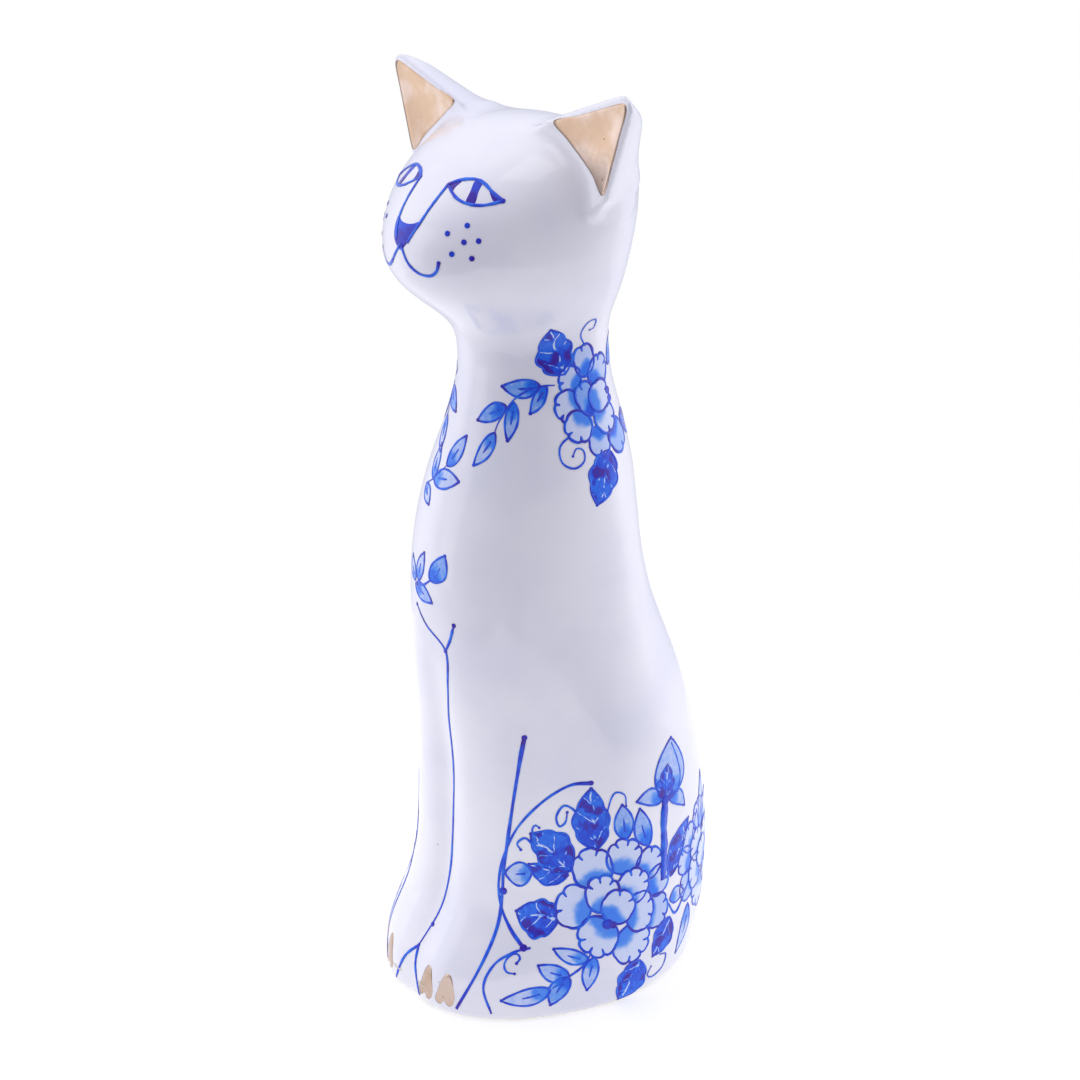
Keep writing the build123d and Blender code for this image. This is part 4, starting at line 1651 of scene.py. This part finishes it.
@dataclass(frozen=True)
class Painter:
    """Lays drawings onto the form and makes the wash and line pieces."""

    form: CatForm
    finishes: Finishes
    lines: LineTree
    lift: float = 0.03
    layer_step: float = 0.055
    line_lift: float = 0.01
    root: float = 0.12
    thinning: float = 0.03
    rings: tuple[float, ...] = (0.18, 0.38, 0.58, 0.76, 0.9, 1.0)

    def _height(self, layer: int | np.ndarray) -> float | np.ndarray:
        """Height of a layer of enamel above the glaze."""
        return self.lift + self.layer_step * layer

    def drape(self, flat: np.ndarray, wrap: Wrap) -> tuple[np.ndarray, np.ndarray]:
        """Points of the surface under flat points, with their normals.

        Args:
            flat: Points on the flat drawing in millimetres, one row each.
            wrap: How the drawing lies on the cat.

        Returns:
            The points and one unit normal for each.
        """
        start, inward = wrap.rays(flat)
        on = self.form.trace(start, inward)
        return on, self.form.normals(on)

    def washes(
        self, name: str, parts: Sequence[tuple[Drawing, Wrap]], gilt: float = 0.0
    ) -> bpy.types.Object:
        """Builds all filled areas of some drawings as closed thin films in one mesh.

        Args:
            name: Name of the piece.
            parts: Drawings with the wraps they are laid on.
            gilt: Thickness of a gold film; 0 for cobalt washes.

        Returns:
            The mesh object, dressed with the wash or gold materials.
        """
        vertices, faces, strokes, slots = [], [], [], []
        brushes = list(Brush)
        base = 0
        for drawing, wrap in parts:
            for patch in drawing.patches:
                centre = np.array(patch.centre)
                rings = [centre[None, :]] + [centre + (patch.outline - centre) * r for r in self.rings]
                flat = np.vstack(rings)
                on, normal = self.drape(flat, wrap)
                number = len(patch.outline)
                edge = np.zeros(len(flat))
                edge[-number:] = 1.0
                height = gilt if gilt else self._height(patch.layer)
                thickness = height - edge * min(height * 0.5, self.thinning)
                top = on + normal * thickness[:, None]
                under = on - normal * self.root
                vertices += [top, under]
                coordinates = patch.brush_coordinates(flat)
                tone = np.full((len(flat), 1), patch.tone)
                strokes += [np.hstack([coordinates, tone])] * 2
                made = self._film_faces(number, len(flat), base)
                if self._turns_clockwise(patch.outline, wrap):
                    made = [face[::-1] for face in made]
                faces += made
                slots += [brushes.index(patch.brush)] * len(made)
                base += 2 * len(flat)
        piece = make_mesh(name, np.vstack(vertices), faces)
        set_attribute(piece, "stroke", np.vstack(strokes))
        if gilt:
            piece.data.materials.append(self.finishes.gold)
            slots = [0] * len(slots)
        else:
            for brush in brushes:
                piece.data.materials.append(self.finishes.washes[brush])
        shade(piece.data, slots)
        return piece

    def _film_faces(self, number: int, count: int, base: int) -> list[tuple[int, ...]]:
        """Faces of one film: top rings, under rings and the edge between them.

        Args:
            number: Points in one ring.
            count: Number of rings.
            base: Number of the first vertex.

        Returns:
            Vertex numbers of each face.
        """
        faces = []
        for layer in (0, 1):
            start = base + layer * count
            side = []
            for j in range(number):
                k = (j + 1) % number
                side.append((start, start + 1 + j, start + 1 + k))
                for ring in range(len(self.rings) - 1):
                    a = start + 1 + ring * number
                    b = a + number
                    side.append((a + j, b + j, b + k, a + k))
            faces += side if layer == 0 else [face[::-1] for face in side]
        rim = base + count - number
        low = base + 2 * count - number
        for j in range(number):
            k = (j + 1) % number
            faces.append((rim + j, low + j, low + k, rim + k))
        return faces

    def _turns_clockwise(self, outline: np.ndarray, wrap: Wrap) -> bool:
        """Whether the outline runs clockwise when it is seen from outside the cat.

        Args:
            outline: Flat points of a patch.
            wrap: How the drawing lies on the cat.

        Returns:
            True if it runs clockwise.
        """
        x, y = outline[:, 0], outline[:, 1]
        area = float(np.sum(x * np.roll(y, -1) - np.roll(x, -1) * y))
        return (area > 0.0) != (wrap.side is Side.LEFT)

    def strokes(self, name: str, parts: Sequence[tuple[Drawing, Wrap]]) -> bpy.types.Object:
        """Builds all lines and dots of some drawings as swept enamel in one mesh.

        Args:
            name: Name of the piece.
            parts: Each drawing with the wrap that lays it on the cat.

        Returns:
            The finished piece.
        """
        vertices, edges, lift, width, drop, pool = [], [], [], [], [], []
        base = 0
        for drawing, wrap in parts:
            for line in drawing.lines:
                on, normal = self.drape(line.points, wrap)
                number = len(on)
                vertices.append(on + normal * (self._height(line.layer) + self.line_lift))
                lift.append(normal)
                width.append(line.width * MM)
                drop.append(np.zeros(number))
                pool.append(line.pool)
                edges += [(base + i, base + i + 1) for i in range(number - 1)]
                if line.closed:
                    edges.append((base + number - 1, base))
                base += number
            if drawing.dots:
                flat = np.array([dot.at for dot in drawing.dots])
                on, normal = self.drape(flat, wrap)
                layer = np.array([dot.layer for dot in drawing.dots])
                vertices.append(on + normal * (self._height(layer) + self.line_lift)[:, None])
                lift.append(normal)
                width.append(np.zeros(len(flat)))
                drop.append(np.array([dot.radius for dot in drawing.dots]) * MM)
                pool.append(np.ones(len(flat)))
                base += len(flat)
        guide = make_mesh(name, np.vstack(vertices), [], edges)
        for key, values in (("lift", lift), ("width", width), ("drop", drop), ("pool", pool)):
            set_attribute(guide, key, np.concatenate(values))
        self.lines.bake(guide, self.finishes.line)
        return guide


class Cat:
    """The whole figurine: body, floor, painting and gilding."""

    def __init__(self) -> None:
        """Makes the form, the finishes and the painter."""
        self.form = CatForm()
        self.finishes = Finishes()
        self.painter = Painter(self.form, self.finishes, LineTree())

    def _keep(self, piece: bpy.types.Object, slot: str, *nodes: str) -> None:
        """Hangs a piece under the root body, hides the nodes it replaces and reports it.

        Args:
            piece: A finished piece.
            slot: Not used.
            nodes: Nodes of the part that the piece replaces.
        """
        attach(piece, "root")
        if nodes:
            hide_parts(*nodes)
        report(piece)

    def _painting(self, name: str, parts: Sequence[tuple[Drawing, Wrap]], *nodes: str) -> None:
        """Makes the wash and the line piece of one painted area.

        Args:
            name: Name of the area.
            parts: Each drawing with the wrap that lays it on the cat.
            nodes: Nodes of the part that the pieces replace.
        """
        if any(drawing.patches for drawing, _ in parts):
            self._keep(self.painter.washes(f"{name}_washes", parts), "cobalt_enamel", *nodes)
        self._keep(self.painter.strokes(f"{name}_lines", parts), "cobalt_enamel", *nodes)

    def _claw_places(self, side: Side) -> tuple[Point, Point]:
        """Where the two gold claws of a forepaw are; the right paw's were set further round."""
        return ((5.6, 8.8), (12.8, 9.2)) if side is Side.LEFT else ((13.5, 9.0), (20.5, 9.2))

    def _gilding(self, side: Side) -> None:
        """The gold on one ear and on the claws of one forepaw.

        Args:
            side: Left or right of the cat.
        """
        ear = EarWrap(self.form.ear, side)
        leaf = [
            (-13.6, 0.8), (-7, 0.3), (0, 0.2), (7, 0), (14.2, -0.8), (11.6, 9), (9, 17), (6.9, 23.6),
            (5.2, 25.2), (3.2, 23.6), (-1.4, 17.2), (-7.6, 8.6),
        ]
        gilt = Drawing((filled(leaf, Brush.PETAL, 1),))
        piece = self.painter.washes(f"{side.label}_ear_gold", [(gilt, ear)], gilt=GILT)
        self._keep(piece, "gold_lustre", f"{side.label}_ear_gilding")
        paw = BodyWrap(4.0, 48.0, 0.0, side)
        hook = [
            (0, 5.6), (1.5, 4.8), (2.5, 1), (3, -2.2), (2.3, -5), (0.9, -5.6), (-0.2, -4.2),
            (-1.6, -5.8), (-3.2, -4.4), (-2.4, -0.8), (-1.4, 3.4),
        ]
        places = self._claw_places(side)
        hooks = [[(s + place[0], z + place[1]) for s, z in hook] for place in places]
        claws = Drawing(tuple(filled(points, Brush.PETAL, 1) for points in hooks))
        piece = self.painter.washes(f"{side.label}_claw_gold", [(claws, paw)], gilt=GILT)
        self._keep(piece, "gold_lustre", f"{side.label}_claw_gilding")

    def _side(self, side: Side) -> None:
        """The painting and the gilding on one side of the cat.

        Args:
            side: Left or right of the cat.
        """
        low_limit = BELOW_FOOT if side is Side.LEFT else TAIL_TOP
        areas = (
            ("haunch", HaunchSpray(low_limit).draw(), BodyWrap(7.0, 50.0, 72.0, side)),
            ("neck", NeckSpray().draw(), BodyWrap(1.0, 27.0, 90.0, side)),
            ("leg_line", LegLine().draw(), BodyWrap(4.0, 48.0, 10.0, side)),
        )
        for area, drawing, wrap in areas:
            self._painting(f"{side.label}_{area}", [(drawing, wrap)], f"{side.label}_{area}_enamel")
        self._gilding(side)

    def build(self) -> None:
        """Builds every piece and hangs the new ones under the root body."""
        body = Body(self.form).build(self.finishes)
        castings = ("torso_casting", "head_casting", "left_ear", "right_ear", "tail")
        self._keep(body, "glazed_porcelain", *castings)
        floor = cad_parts["closing_floor"]
        floor.data.materials.clear()
        floor.data.materials.append(self.finishes.biscuit)
        chest = BodyWrap(3.0, 42.0, 0.0)
        self._painting("face", [(Face().draw(), BodyWrap(-5.0, 45.0, 0.0))], "face_enamel")
        self._painting("foreleg", [(ForelegLines().draw(), chest)], "foreleg_enamel")
        self._painting("chest", [(ChestGarland().draw(), chest)], "chest_enamel")
        for side in Side:
            self._side(side)


# ---- studio ------------------------------------------------------------------------------------
@dataclass(frozen=True)
class Panel:
    """A soft light: metres towards the camera, to its right and up, with its size and watts."""

    name: str
    ahead: float
    right: float
    height: float
    size: Point
    power: float


@dataclass(frozen=True)
class Studio:
    """A bright white sweep with soft light from both sides, and the camera."""

    azimuth: float = 50.0
    pitch: float = 22.2
    distance: float = 583.0
    height: float = 389.0
    shift: float = 1.5
    lens: float = 64.93
    sensor: float = 36.0
    room: Stops = (
        (0.0, "#8E8F9B"),
        (0.36, "#E2E2EA"),
        (0.62, "#B2B1BB"),
        (1.0, "#605F68"),
    )
    room_strength: float = 2.06
    paper: str = "#C4C4C8"
    paper_glow: float = 0.54
    paper_reach: float = 0.3
    aim: float = 0.16
    panels: tuple[Panel, ...] = (
        Panel("panel_right", -0.2, 0.75, 0.45, (0.5, 1.0), 0.35),
        Panel("strip_left", 0.28, -0.9, 0.3, (0.36, 0.9), 0.55),
        Panel("panel_top", 0.14, -0.14, 1.4, (0.55, 0.45), 0.7),
    )

    def camera(self) -> None:
        """Places the camera ahead and to the left of the cat, looking down at it."""
        turn = math.radians(self.azimuth)
        data = bpy.data.cameras.new("camera")
        data.lens = self.lens
        data.sensor_width = self.sensor
        data.clip_start = 0.01
        rig = bpy.data.objects.new("camera", data)
        rig.location = (
            (self.distance * math.sin(turn) + self.shift * math.cos(turn)) * MM,
            (-self.distance * math.cos(turn) + self.shift * math.sin(turn)) * MM,
            self.height * MM,
        )
        rig.rotation_euler = (math.radians(90.0 - self.pitch), 0.0, turn)
        bpy.context.scene.collection.objects.link(rig)
        bpy.context.scene.camera = rig

    def floor(self) -> None:
        """A wide matt white floor."""
        corners = np.array([(-1, -1, 0), (1, -1, 0), (1, 1, 0), (-1, 1, 0)]) * self.paper_reach / MM
        sheet = make_mesh("studio_floor", corners, [(0, 1, 2, 3)])
        paper = Shader("white_paper").dressed(
            Base_Color=linear(self.paper),
            Roughness=0.9,
            Specular_IOR_Level=0.0,
            Emission_Color=linear("#FFFFFF"),
            Emission_Strength=self.paper_glow,
        )
        sheet.data.materials.append(paper)

    def _hang(self, panel: Panel, at: tuple[float, float, float]) -> None:
        """Hangs a soft rectangular light and aims it at the cat's chest.

        Args:
            panel: Name, size and strength of the light.
            at: Where it hangs, in millimetres.
        """
        data = bpy.data.lights.new(panel.name, "AREA")
        data.shape = "RECTANGLE"
        data.size, data.size_y = panel.size
        data.energy = panel.power
        lamp = bpy.data.objects.new(panel.name, data)
        lamp.location = at
        aim = np.array([0.0, 0.0, self.aim]) - np.array(at)
        yaw = math.atan2(aim[1], aim[0]) - math.pi / 2
        rise = math.atan2(aim[2], math.hypot(aim[0], aim[1]))
        lamp.rotation_euler = (math.pi / 2 + rise, 0.0, yaw)
        bpy.context.scene.collection.objects.link(lamp)

    def light(self) -> None:
        """White surroundings, dimmer from the camera's side, and soft panels."""
        turn = math.radians(self.azimuth)
        ahead = np.array([math.sin(turn), -math.cos(turn)])
        right = np.array([math.cos(turn), math.sin(turn)])
        world = bpy.data.worlds.new("white_room")
        world.use_nodes = True
        tree = Nodes(world.node_tree)
        place = tree.add("TexCoord", out="Object")
        facing = tree.add("VectorMath DOT_PRODUCT", place, (ahead[0], ahead[1], 0.0), out="Value")
        share = tree.add("Math MULTIPLY_ADD", facing, 0.5, 0.5)
        room = tree.add("Background", tree.add("ValToRGB", share, stops=self.room), self.room_strength)
        backdrop = tree.add("Background", linear("#FFFFFF"))
        # The eye sees plain white behind the cat; only the glaze sees the room.
        seen = tree.add("MixShader", tree.add("LightPath", out="Is Camera Ray"), room, backdrop)
        tree.put(world.node_tree.nodes["World Output"].inputs["Surface"], seen)
        bpy.context.scene.world = world
        for panel in self.panels:
            at = ahead * panel.ahead + right * panel.right
            self._hang(panel, (at[0], at[1], panel.height))
        bpy.context.scene.view_settings.view_transform = "Standard"

    def build(self) -> None:
        """Sets up the camera, the floor and the lights."""
        self.camera()
        self.floor()
        self.light()


def write_sizes() -> None:
    """Updates the view layer so that every piece's place is current."""
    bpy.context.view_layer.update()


def main() -> None:
    """Builds the cat and its studio."""
    logging.basicConfig(level=logging.INFO, format="%(name)s: %(message)s")
    Cat().build()
    Studio().build()
    write_sizes()


if __name__ == "__main__":
    main()
